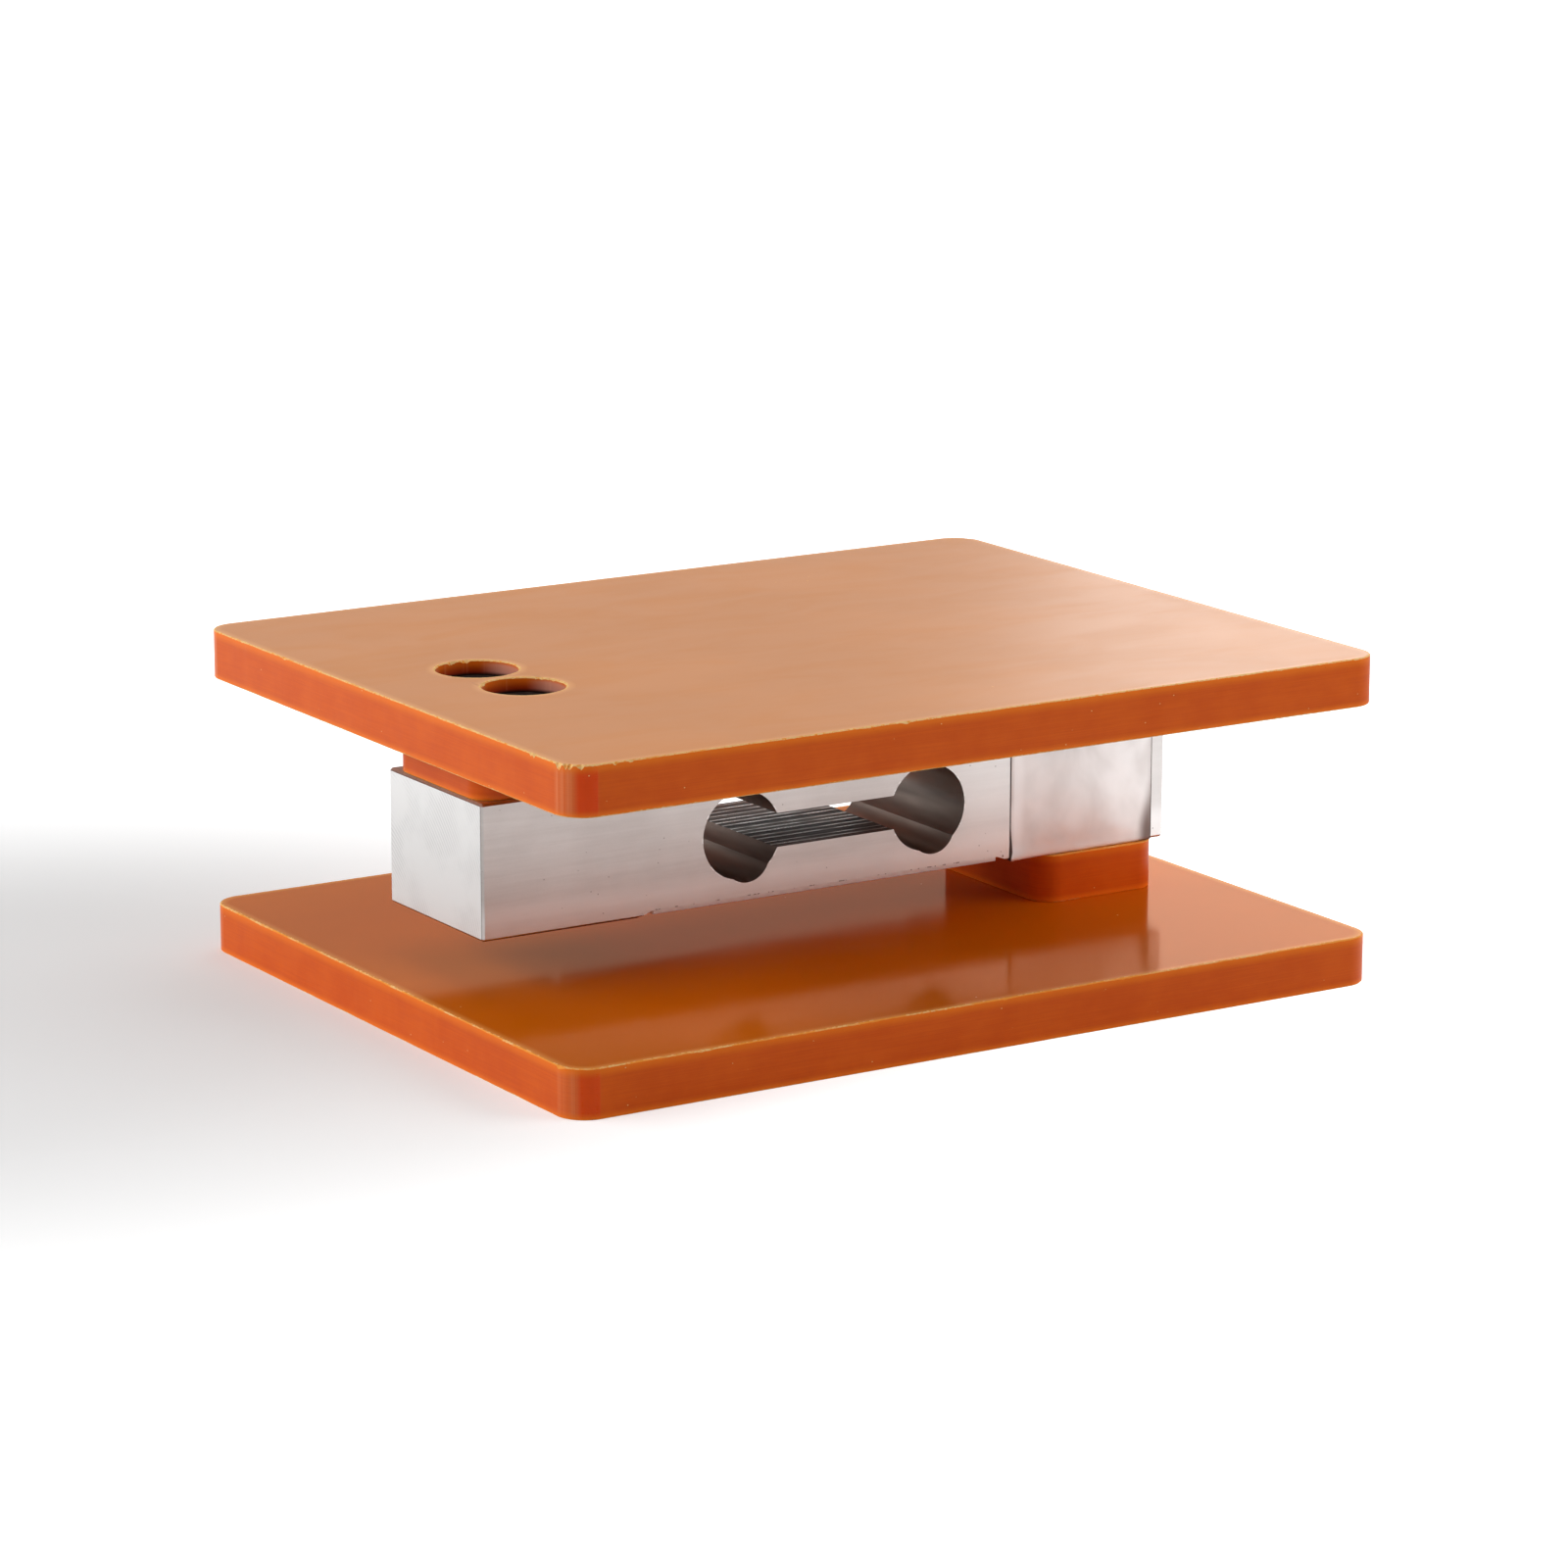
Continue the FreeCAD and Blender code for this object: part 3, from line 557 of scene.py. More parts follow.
        colour = tree.blend(end, matte, tree.blend(arcs * 0.7, self.milled, self.scored))
        skin = tree.relief(grain * 0.5 + streak * 0.5 + (arcs - 0.5) * end * 0.8, 0.006 * MM, 0.5)
        normal = tree.relief(ribs * slot * inside, 0.05 * MM, 1.0, skin)
        rough = grain * 0.08 + patch * 0.06 + 0.27 + end * 0.04
        between = (1.0 - ribs) * slot
        tree.dress(Base_Color=tree.blend(inside, colour, cavity),
                   Metallic=1.0 - inside * (between * 0.45 + 0.35),
                   Roughness=rough + inside * (between * 0.20 - ribs * slot * 0.12 + 0.06) + pits * 0.2,
                   Normal=normal)


@dataclass(frozen=True)
class BlackOxide(Finish):
    """Oiled black oxide on steel."""

    black: Colour = (0.012, 0.008, 0.006)
    worn: Colour = (0.045, 0.034, 0.027)

    def paint(self, tree: NodeTree) -> None:
        """Adds the finish's nodes.

        Args:
            tree: the material's nodes.
        """
        wear = tree.clouds(700.0, 4.0, 0.7)
        turned = tree.clouds(1600.0, 2.0, 0.5, tree.stretched((1.0, 1.0, 0.1)))
        tree.dress(Base_Color=tree.blend(wear.step(0.45, 0.75), self.black, self.worn),
                   Roughness=wear * 0.2 + turned * 0.1 + 0.55,
                   Normal=tree.relief(turned, 0.01 * MM, 0.4),
                   Specular_IOR_Level=0.04)


@dataclass(frozen=True)
class SatinFoil(Finish):
    """Soft aluminium foil pressed by hand, with painted light on it: a dark line along its edges for the shade
    of the gap under them, a lighter band beside one edge, a dark reflection at a lower corner and a lighter,
    folded lower edge.
    """

    start: float = 0.034
    end: float = 0.0624
    foot: float = 0.016
    foil: Colour = (0.87, 0.825, 0.81)
    smear: Colour = (0.72, 0.67, 0.65)
    seam_highlight: Colour = (0.96, 0.92, 0.91)
    folded: Colour = (1.0, 0.97, 0.96)
    seam_shade: Colour = (0.12, 0.10, 0.095)
    dark_reflection: Colour = (0.10, 0.032, 0.013)

    def paint(self, tree: NodeTree) -> None:
        """Adds the finish's nodes.

        Args:
            tree: the material's nodes.
        """
        x, _, z = tree.axes()
        smear = tree.clouds(95.0, 3.0, 0.5, tree.stretched((1.0, 1.0, 0.7)), 0.8)
        patch = tree.clouds(210.0, 2.0, 0.5, tree.stretched((1.0, 1.0, 0.8), (3.0, 1.0, 2.0)))
        brushed = tree.clouds(1800.0, 2.0, 0.5, tree.stretched((1.0, 1.0, 0.05)))
        above = z - self.foot
        ragged = tree.clouds(520.0, 4.0, 0.7) * 0.11 * MM
        wavy = tree.clouds(260.0, 2.0, 0.5, tree.stretched((0.0, 0.0, 1.0))) * 0.12 * MM
        flared = above.step(6.0 * MM, 1.5 * MM) * above.step(0.2 * MM, 1.6 * MM) * 0.30 * MM
        left, right = x - self.start, self.end - x
        # painted shade: a dark line along both edges of the foil, for the gap under them
        line = ((left - flared - wavy) & (right - ragged * 0.8) - ragged).step(0.10 * MM, 0.0)
        rise = above.step(13.0 * MM, 0.5 * MM)
        # painted reflection: a dark brown patch at the lower corner of the foil's fixed-end edge, wider
        # towards the bottom
        dark_reflection = (right - rise * 2.2 * MM).step(1.3 * MM, -1.2 * MM) * (rise * 0.7 + 0.3)
        # painted highlight: a lighter band just inside the foil's edge on the load-end side
        band = left.step(0.3 * MM, 0.9 * MM) * left.step(3.2 * MM, 1.3 * MM)
        # lighter and less metallic towards the bottom: folded foil, with a painted highlight along its lower
        # edge
        fold_and_highlight = above.step(3.4 * MM, 0.3 * MM)
        colour = tree.blend(smear.step(0.34, 0.68) * 0.7 + patch.step(0.35, 0.7) * 0.3, self.foil, self.smear)
        colour = tree.blend(band * 0.7, colour, self.seam_highlight)
        colour = tree.blend(fold_and_highlight, colour, self.folded)
        colour = tree.blend(dark_reflection * 0.85, colour, self.dark_reflection)
        tree.dress(Base_Color=tree.blend(line, colour, self.seam_shade),
                   Metallic=1.0 - (line * 0.8 | fold_and_highlight * 0.5 | dark_reflection * 0.6),
                   Roughness=smear * 0.10 + brushed * 0.05 + line * 0.4 + 0.36,
                   Normal=tree.relief(brushed, 0.004 * MM, 0.5))


@dataclass(frozen=True)
class SealingCoat(Finish):
    """The soft pale coat over the strain gauges, brushed on by hand."""

    pale: Colour = (0.90, 0.85, 0.83)
    blush: Colour = (0.86, 0.76, 0.72)

    def paint(self, tree: NodeTree) -> None:
        """Adds the finish's nodes.

        Args:
            tree: the material's nodes.
        """
        brushed = tree.clouds(260.0, 4.0, 0.6, tree.stretched((0.2, 1.0, 1.0)))
        lump = tree.clouds(120.0, 3.0)
        tree.dress(Base_Color=tree.blend(brushed * 0.6 + lump * 0.4, self.blush, self.pale),
                   Metallic=0.5,
                   Roughness=lump * 0.2 + 0.50,
                   Normal=tree.relief(brushed, 0.05 * MM, 0.6),
                   Specular_IOR_Level=0.2,
                   Subsurface_Weight=0.1,
                   Subsurface_Radius=(0.0008, 0.0005, 0.0003),
                   IOR=1.41)


@dataclass(frozen=True)
class GaugeFilm(Finish):
    """Amber film with a folded foil grid on it."""

    half_grid: float = 0.0032
    half_width: float = 0.0021
    tab_end: float = 0.0043
    tab_offset: float = 0.0011
    half_tab: float = 0.0007
    line_rate: float = 9000.0
    bore_offset: float = 0.01775
    film: Colour = (0.52, 0.25, 0.05)
    foil: Colour = (0.62, 0.60, 0.56)

    def paint(self, tree: NodeTree) -> None:
        """Adds the finish's nodes.

        Args:
            tree: the material's nodes.
        """
        x, y, _ = tree.axes()
        along = abs(abs(x) - self.bore_offset)
        grid = (y * self.line_rate).wave().step(0.45, 0.60)
        grid = grid * (along < self.half_grid) * (abs(y) < self.half_width)
        tabs = (along > self.half_grid) * (along < self.tab_end)
        tabs = tabs * (abs(abs(y) - self.tab_offset) < self.half_tab)
        metal = grid | tabs
        haze = tree.clouds(500.0, 3.0)
        tree.dress(Base_Color=tree.blend(metal, self.film, self.foil),
                   Metallic=metal,
                   Roughness=haze * 0.15 + 0.22,
                   Normal=tree.relief(metal, 0.004 * MM, 0.5),
                   Coat_Weight=0.3)


@dataclass(frozen=True)
class LeadEnamel(Finish):
    """Copper wire under a brown enamel that is thin in places."""

    enamel: Colour = (0.30, 0.07, 0.02)
    thin: Colour = (0.62, 0.26, 0.10)

    def paint(self, tree: NodeTree) -> None:
        """Adds the finish's nodes.

        Args:
            tree: the material's nodes.
        """
        flow = tree.clouds(900.0, 3.0, 0.6)
        tree.dress(Base_Color=tree.blend(flow.step(0.4, 0.7), self.enamel, self.thin),
                   Metallic=0.4,
                   Roughness=flow * 0.15 + 0.2,
                   Normal=tree.relief(flow, 0.01 * MM, 0.3),
                   Coat_Weight=0.5)


@dataclass(frozen=True)
class BoardMask(Finish):
    """Green solder mask over a glass weave, with tinned pads round the core holes."""

    mask: Colour = (0.015, 0.115, 0.04)
    deep: Colour = (0.008, 0.070, 0.025)
    tin: Colour = (0.70, 0.69, 0.66)
    pad_start: float = 0.0380
    pad_end: float = 0.0430
    pad_height: float = 0.0311
    weave_rate: float = 9000.0

    def paint(self, tree: NodeTree) -> None:
        """Adds the finish's nodes.

        Args:
            tree: the material's nodes.
        """
        x, _, z = tree.axes()
        weave = (x * self.weave_rate).wave() * (z * self.weave_rate).wave()
        pads = (x > self.pad_start) * (x < self.pad_end) * (z < self.pad_height)
        pads = pads * (tree.specks(850.0) < 0.42)
        cloud = tree.clouds(400.0, 3.0)
        green = tree.blend(weave * 0.5 + cloud * 0.5, self.deep, self.mask)
        tree.dress(Base_Color=tree.blend(pads, green, self.tin),
                   Metallic=pads,
                   Roughness=cloud * 0.15 + 0.25,
                   Normal=tree.relief(weave, 0.01 * MM, 0.4))


@dataclass(frozen=True)
class ChipCeramic(Finish):
    """Dark glazed chips with tinned ends."""

    middle: float = 0.0508
    pitch: float = 0.0026
    half_glaze: float = 0.0006
    glaze: Colour = (0.02, 0.02, 0.022)
    tin: Colour = (0.72, 0.71, 0.68)
    dull_tin: Colour = (0.5, 0.5, 0.5)

    def paint(self, tree: NodeTree) -> None:
        """Adds the finish's nodes.

        Args:
            tree: the material's nodes.
        """
        x, _, _ = tree.axes()
        off_middle = abs(x - self.middle)
        along = off_middle & abs(off_middle - self.pitch)
        ends = along > self.half_glaze
        grain = tree.clouds(2500.0, 3.0)
        tree.dress(Base_Color=tree.blend(ends, self.glaze, tree.blend(grain, self.tin, self.dull_tin)),
                   Metallic=ends,
                   Roughness=grain * 0.2 + 0.25,
                   Normal=tree.relief(grain, 0.01 * MM, 0.4))


@dataclass(frozen=True)
class PottingFill(Finish):
    """Dark elastic compound with a few small bubbles."""

    dark: Colour = (0.030, 0.029, 0.032)
    grey: Colour = (0.075, 0.072, 0.075)

    def paint(self, tree: NodeTree) -> None:
        """Adds the finish's nodes.

        Args:
            tree: the material's nodes.
        """
        flow = tree.clouds(180.0, 4.0, 0.55)
        bubbles = tree.specks(700.0).step(0.16, 0.06) * (tree.clouds(150.0, 2.0) > 0.52)
        tree.dress(Base_Color=tree.blend(flow, self.dark, self.grey),
                   Roughness=flow * 0.2 + 0.28,
                   Normal=tree.relief(flow * 0.4 - bubbles, 0.08 * MM, 0.6),
                   IOR=1.45)


@dataclass(frozen=True)
class PaleFloor(Finish):
    """A plain pale floor that shows white to the camera, save for a painted shadow to the left of the part,
    where the floor's own shading shows through.
    """

    colour: Colour = (0.72, 0.72, 0.72)
    lift: float = 0.24
    mirrored: float = 0.95
    mirrored_left: float = 0.62
    far_drop: float = 0.85
    shade_x: float = -0.14
    shade_y: float = 0.05
    shade_core: float = 0.06
    shade_reach: float = 0.24
    bright_x: float = 0.13
    far_x: tuple[float, float] = (0.16, 0.22)

    def paint(self, tree: NodeTree) -> None:
        """Adds the finish's nodes.

        Args:
            tree: the material's nodes.
        """
        x, y, _ = tree.axes()
        camera, glossy, transmission = tree.seen_by()
        # painted shadow: the white lift fades round a point to the left of and behind the part
        away = ((x - self.shade_x) ** 2.0 + (y - self.shade_y) ** 2.0).root()
        away = away.step(self.shade_core, self.shade_reach)
        # painted light: seen in reflections the floor is brighter towards the right, dimmer to the left and
        # dimmer again far off to the right
        mirrored = x.step(0.0, self.bright_x) * (self.mirrored - self.mirrored_left) + self.mirrored_left
        mirrored = mirrored * (1.0 - x.step(*self.far_x) * self.far_drop)
        lift = (camera | (glossy | transmission) * mirrored) * (away * (1.0 - self.lift) + self.lift)
        tree.dress(Base_Color=self.colour,
                   Roughness=0.9,
                   Specular_IOR_Level=0.0,
                   Emission_Color=tree.blend(lift, (0.0, 0.0, 0.0), (1.0, 1.0, 1.0)),
                   Emission_Strength=1.0)


class Modeller:
    """The few edit-mode moves that the pieces share, all made with Blender's own operators."""

    @staticmethod
    def start(add: Callable[..., object], name: str, **where: object) -> bpy.types.Object:
        """Adds a primitive with nothing else selected.

        Args:
            add: the operator that adds it.
            name: the new object's name.
            where: the operator's own size and place.

        Returns:
            The new object, active and selected.
        """
        if bpy.context.object and bpy.context.object.mode != "OBJECT":
            bpy.ops.object.mode_set(mode="OBJECT")
        bpy.ops.object.select_all(action="DESELECT")
        add(**where)
        made = bpy.context.object
        made.name = name
        made.data.name = name
        return made

    @staticmethod
    def settle(piece: bpy.types.Object) -> None:
        """Moves a piece's place into its mesh.

        Args:
            piece: the mesh object.
        """
        bpy.ops.object.select_all(action="DESELECT")
        bpy.context.view_layer.objects.active = piece
        piece.select_set(True)
        bpy.ops.object.transform_apply(location=True, rotation=True, scale=True)

    @staticmethod
    def _pick(piece: bpy.types.Object, kind: str, chosen: Callable[..., bool]) -> None:
        """Selects faces or edges, and leaves edit mode on.

        Args:
            piece: the mesh object, active.
            kind: FACE or EDGE.
            chosen: the test of one of them.
        """
        bpy.ops.object.mode_set(mode="EDIT")
        bpy.ops.mesh.select_mode(type=kind)
        bpy.ops.mesh.select_all(action="DESELECT")
        bpy.ops.object.mode_set(mode="OBJECT")
        for part in piece.data.polygons if kind == "FACE" else piece.data.edges:
            part.select = chosen(part)
        bpy.ops.object.mode_set(mode="EDIT")

    @classmethod
    def pick_faces(cls, piece: bpy.types.Object, chosen: Callable[[bpy.types.MeshPolygon], bool]) -> None:
        """Selects the faces that the test picks, and leaves edit mode on."""
        cls._pick(piece, "FACE", chosen)

    @classmethod
    def pick_edges(cls, piece: bpy.types.Object, chosen: Callable[[Vector, Vector], bool]) -> None:
        """Selects the edges whose two ends pass the test, and leaves edit mode on."""
        cls._pick(piece, "EDGE", lambda edge: chosen(*(piece.data.vertices[end].co for end in edge.vertices)))

    @staticmethod
    def finish_edit() -> None:
        """Goes back to object mode."""
        bpy.ops.object.mode_set(mode="OBJECT")

    @staticmethod
    def apply(piece: bpy.types.Object, kind: str, **settings: object) -> None:
        """Adds a modifier and applies it.

        Args:
            piece: the mesh object.
            kind: the modifier's type.
            settings: its properties.
        """
        bpy.context.view_layer.objects.active = piece
        bpy.ops.object.modifier_add(type=kind)
        modifier = piece.modifiers[-1]
        for name, setting in settings.items():
            setattr(modifier, name, setting)
        bpy.ops.object.modifier_apply(modifier=modifier.name)

    @classmethod
    def bore(cls, piece: bpy.types.Object, place: tuple[float, float], radius: float,
             span: tuple[float, float], sides: int) -> None:
        """Cuts an upright round hole.

        Args:
            piece: the mesh object.
            place: the hole's axis, along X and Y.
            radius: the hole's radius.
            span: its lower and upper end.
            sides: how many sides its round has.
        """
        low, high = span
        cutter = cls.start(bpy.ops.mesh.primitive_cylinder_add, "cutter", vertices=sides, radius=radius,
                           depth=high - low, location=(*place, (low + high) / 2))
        cls.settle(cutter)
        bpy.ops.object.select_all(action="DESELECT")
        piece.select_set(True)
        cls.apply(piece, "BOOLEAN", object=cutter, operation="DIFFERENCE", solver="EXACT")
        bpy.data.objects.remove(cutter)

    @staticmethod
    def shade(piece: bpy.types.Object, degrees: float) -> None:
        """Smooths the shading over the flatter edges.

        Args:
            piece: the mesh object.
            degrees: the angle up to which an edge is smooth.
        """
        bpy.ops.object.select_all(action="DESELECT")
        bpy.context.view_layer.objects.active = piece
        piece.select_set(True)
        bpy.ops.object.shade_smooth_by_angle(angle=math.radians(degrees))


def keep(piece: bpy.types.Object, node: str) -> None:
    """Rides a finished piece on the part, in place of a CAD node.

    Args:
        piece: the finished piece.
        node: the CAD node that it replaces.
    """
    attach(piece, BODY)
    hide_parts(node)
    LOG.info("%s: %d faces", piece.name, len(piece.data.polygons))


class Bored(Enum):
    """Which face of a laminate block its counterbores are cut from."""

    NOT = "not"
    TOP = "top"
    UNDERSIDE = "underside"


@dataclass(frozen=True)
class Chip:
    """A larger break in a rim: where it is, how far it reaches along the rim, and how deep it goes."""

    x: float
    y: float
    reach: float
    depth: float


@dataclass
class Piece:
    """A piece that is modelled anew in the place of a CAD node."""

    node: str
    low: Vector = field(init=False)
    high: Vector = field(init=False)

    def __post_init__(self) -> None:
        """Reads the node's place from the frame."""
        self.low, self.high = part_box(self.node)

    def blank(self, name: str) -> bpy.types.Object:
        """Makes a plain block of the piece's box.

        Args:
            name: the new object's name.

        Returns:
            The block.
        """
        made = Modeller.start(bpy.ops.mesh.primitive_cube_add, name, size=1.0,
                              location=(self.low + self.high) / 2)
        made.scale = self.high - self.low
        Modeller.settle(made)
        return made


@dataclass
class LaminateBlock(Piece):
    """A plate or spacer cut from laminate sheet, with torn rims and holes for its screws."""

    corner_radius: float
    screw_x: float
    bored: Bored = Bored.NOT
    chips: Sequence[Chip] = ()
    screw_y: float = 0.0075
    shank_radius: float = 0.0033
    counterbore_radius: float = 0.0066
    counterbore_depth: float = 0.006
    chamfer: float = 0.00013
    rim_pitch: float = 0.00024
    tear: float = 0.00009
    hole_tear: float = 2.2
    gloss: float = 0.28
    resin: Colour = (0.70, 0.222, 0.014)
    ior: float = 1.29
    amber: float = 0.0
    # how strongly the painted corner shade and the painted corner streaks show on the sides
    corner_paint: float = 0.0
    fray: float = 0.2
    shank_sides: int = 48
    spare: float = 0.002
    flat: float = 0.98
    sloped: float = 0.15
    face_depth: float = 0.00005
    rim_depth: float = 0.0015

    def build(self) -> None:
        """Models the block and dresses it."""
        piece = self._outline()
        self._holes(piece)
        self._rims(piece)
        self._tear_rims(piece)
        self._dress(piece)
        keep(piece, self.node)

    def _outline(self) -> bpy.types.Object:
        """Makes a sheet with rounded corners and closely divided sides, raised to the block's thickness.

        Returns:
            The block without its holes.
        """
        centre, size = (self.low + self.high) / 2, self.high - self.low
        piece = Modeller.start(bpy.ops.mesh.primitive_plane_add, f"{self.node}_laminate", size=1.0,
                               location=(centre.x, centre.y, self.low.z))
        piece.scale = (size.x, size.y, 1.0)
        Modeller.settle(piece)
        bpy.ops.object.mode_set(mode="EDIT")
        bpy.ops.mesh.select_all(action="SELECT")
        arc = max(6, round(self.corner_radius * math.pi / 2 / self.rim_pitch))
        bpy.ops.mesh.bevel(offset=self.corner_radius, offset_type="OFFSET", segments=arc, affect="VERTICES")
        for axis in (0, 1):
            length = size[axis] - 2 * self.corner_radius
            cuts = max(2, round(math.sqrt(length / self.rim_pitch)))
            Modeller.pick_edges(piece, lambda a, b: abs(a[axis] - b[axis]) > 0.9 * length)
            for _ in range(2):
                bpy.ops.mesh.subdivide(number_cuts=cuts - 1)
        bpy.ops.mesh.select_all(action="SELECT")
        bpy.ops.mesh.extrude_region_move(TRANSFORM_OT_translate={"value": (0.0, 0.0, size.z)})
        bpy.ops.mesh.select_all(action="SELECT")
        bpy.ops.mesh.normals_make_consistent(inside=False)
        Modeller.finish_edit()
        return piece

    def _holes(self, piece: bpy.types.Object) -> None:
        """Cuts the screw holes, and the counterbores where the block has them.

        Args:
            piece: the block.
        """
        under, over = self.low.z - self.spare, self.high.z + self.spare
        counterbore = {Bored.TOP: (self.high.z - self.counterbore_depth, over),
                       Bored.UNDERSIDE: (under, self.low.z + self.counterbore_depth)}.get(self.bored)
        sides = round(2 * math.pi * self.counterbore_radius / self.rim_pitch)
        for y in (-self.screw_y, self.screw_y):
            Modeller.bore(piece, (self.screw_x, y), self.shank_radius, (under, over), self.shank_sides)
            if counterbore:
                Modeller.bore(piece, (self.screw_x, y), self.counterbore_radius, counterbore, sides)

    def _rims(self, piece: bpy.types.Object) -> None:
        """Breaks the sharp rims of the two broad faces.

        Args:
            piece: the block.
        """
        for level in (self.low.z, self.high.z):
            Modeller.pick_edges(piece, lambda a, b: self._on_rim(a, level) and self._on_rim(b, level))
            bpy.ops.mesh.bevel(offset=self.chamfer, offset_type="OFFSET", segments=1, affect="EDGES")
        Modeller.finish_edit()

    def _rim_gap(self, point: Vector) -> tuple[float, Vector]:
        """How far a point lies from the nearest rim, seen from above, and which way leads inward.

        Args:
            point: a point of the block.

        Returns:
            The distance, and a level unit vector.
        """
        centre, half = (self.low + self.high) / 2, (self.high - self.low) / 2
        away = Vector((point.x - centre.x, point.y - centre.y))
        sign = Vector((math.copysign(1.0, away.x), math.copysign(1.0, away.y)))
        over = Vector((abs(away.x) - half.x + self.corner_radius,
                       abs(away.y) - half.y + self.corner_radius))
        if over.x > 0 and over.y > 0:
            gap, out = self.corner_radius - over.length, over.normalized()
        elif over.x > over.y:
            gap, out = self.corner_radius - over.x, Vector((1.0, 0.0))
        else:
            gap, out = self.corner_radius - over.y, Vector((0.0, 1.0))
        inward = Vector((-out.x * sign.x, -out.y * sign.y, 0.0))
        radius = self.shank_radius if self._plain_at(point.z) else self.counterbore_radius
        for y in (-self.screw_y, self.screw_y):
            spoke = Vector((point.x - self.screw_x, point.y - y, 0.0))
            hole_gap = spoke.length - radius
            if abs(hole_gap) < abs(gap):
                gap, inward = hole_gap, spoke.normalized()
        return gap, inward

    def _plain_at(self, level: float) -> bool:
        """True on a face where the screw holes have no counterbore."""
        upper = level > (self.low.z + self.high.z) / 2
        return self.bored is Bored.NOT or upper is not (self.bored is Bored.TOP)

    def _on_rim(self, point: Vector, level: float) -> bool:
        """True for a point on a sharp rim of a broad face."""
        return abs(point.z - level) < ON_LEVEL and abs(self._rim_gap(point)[0]) < NEAR_RIM

    def _break_depth(self, point: Vector, upper: bool) -> float:
        """How far the rim is torn back.

        Args:
            point: a point on the rim.
            upper: whether the rim is the upper one, where the chips are.

        Returns:
            The depth.
        """
        ragged = noise.noise(point / (0.55 * MM)) + 0.6 * noise.noise(point / (0.21 * MM))
        patchy = max(0.0, noise.noise(point / (5.0 * MM) + Vector((7.0, 3.0, 1.0))) + 0.15)
        depth = self.tear * (0.35 + 0.9 * max(0.0, ragged)) * (0.5 + 2.2 * patchy)
        if math.hypot(point.x - self.screw_x, abs(point.y) - self.screw_y) < self.counterbore_radius + MM:
            depth *= self.hole_tear
        if upper:
            for chip in self.chips:
                gap = math.hypot(point.x - chip.x, point.y - chip.y) / chip.reach
                depth += chip.depth * max(0.0, 1.0 - gap * gap) * (0.55 + 0.9 * max(0.0, ragged))
        return depth

    def _tear_rims(self, piece: bpy.types.Object) -> None:
        """Moves the corners of the broken rims back into the laminate, each along its own face.

        Args:
            piece: the block.
        """
        for level, down in ((self.low.z, 1.0), (self.high.z, -1.0)):
            for vertex in piece.data.vertices:
                point = vertex.co.copy()
                gap, inward = self._rim_gap(point)
                if abs(gap) > self.chamfer * 1.6:
                    continue
                depth = self._break_depth(point, down < 0)
                if abs(point.z - level) < ON_LEVEL:
                    vertex.co += inward * 0.5 * depth
                elif abs(point.z - level - down * self.chamfer) < NEAR_RIM:
                    vertex.co.z += down * min(depth, 0.2 * (self.high.z - self.low.z))
        piece.data.update()

    def _dress(self, piece: bpy.types.Object) -> None:
        """Gives the broad faces, the machined sides and the torn rims each their finish.

        Args:
            piece: the block.
        """
        hole_radius = self.shank_radius if self.bored is Bored.NOT else self.counterbore_radius
        mouth = self.low.z if self.bored is Bored.UNDERSIDE else self.high.z
        shape = LaminateShape(tuple(self.low), tuple(self.high), self.corner_radius,
                              self.screw_x, self.screw_y, hole_radius, mouth)
        pressed = PressedFace(f"{self.node}_pressed", shape, self.gloss, self.resin, self.ior, self.amber)
        sawn = SawnSide(f"{self.node}_sawn", shape, self.corner_paint)
        torn = BrokenEdge(f"{self.node}_torn", shape, self.fray)
        for finish in (pressed, sawn, torn):
            piece.data.materials.append(finish.material())
        for face in piece.data.polygons:
            level = min(abs(face.center.z - self.low.z), abs(face.center.z - self.high.z))
            tilt = abs(face.normal.z)
            if tilt > self.flat and level < self.face_depth:
                face.material_index = 0
            elif self.sloped < tilt < self.flat and level < self.rim_depth:
                face.material_index = 2
            else:
                face.material_index = 1
        Modeller.shade(piece, 25.0)


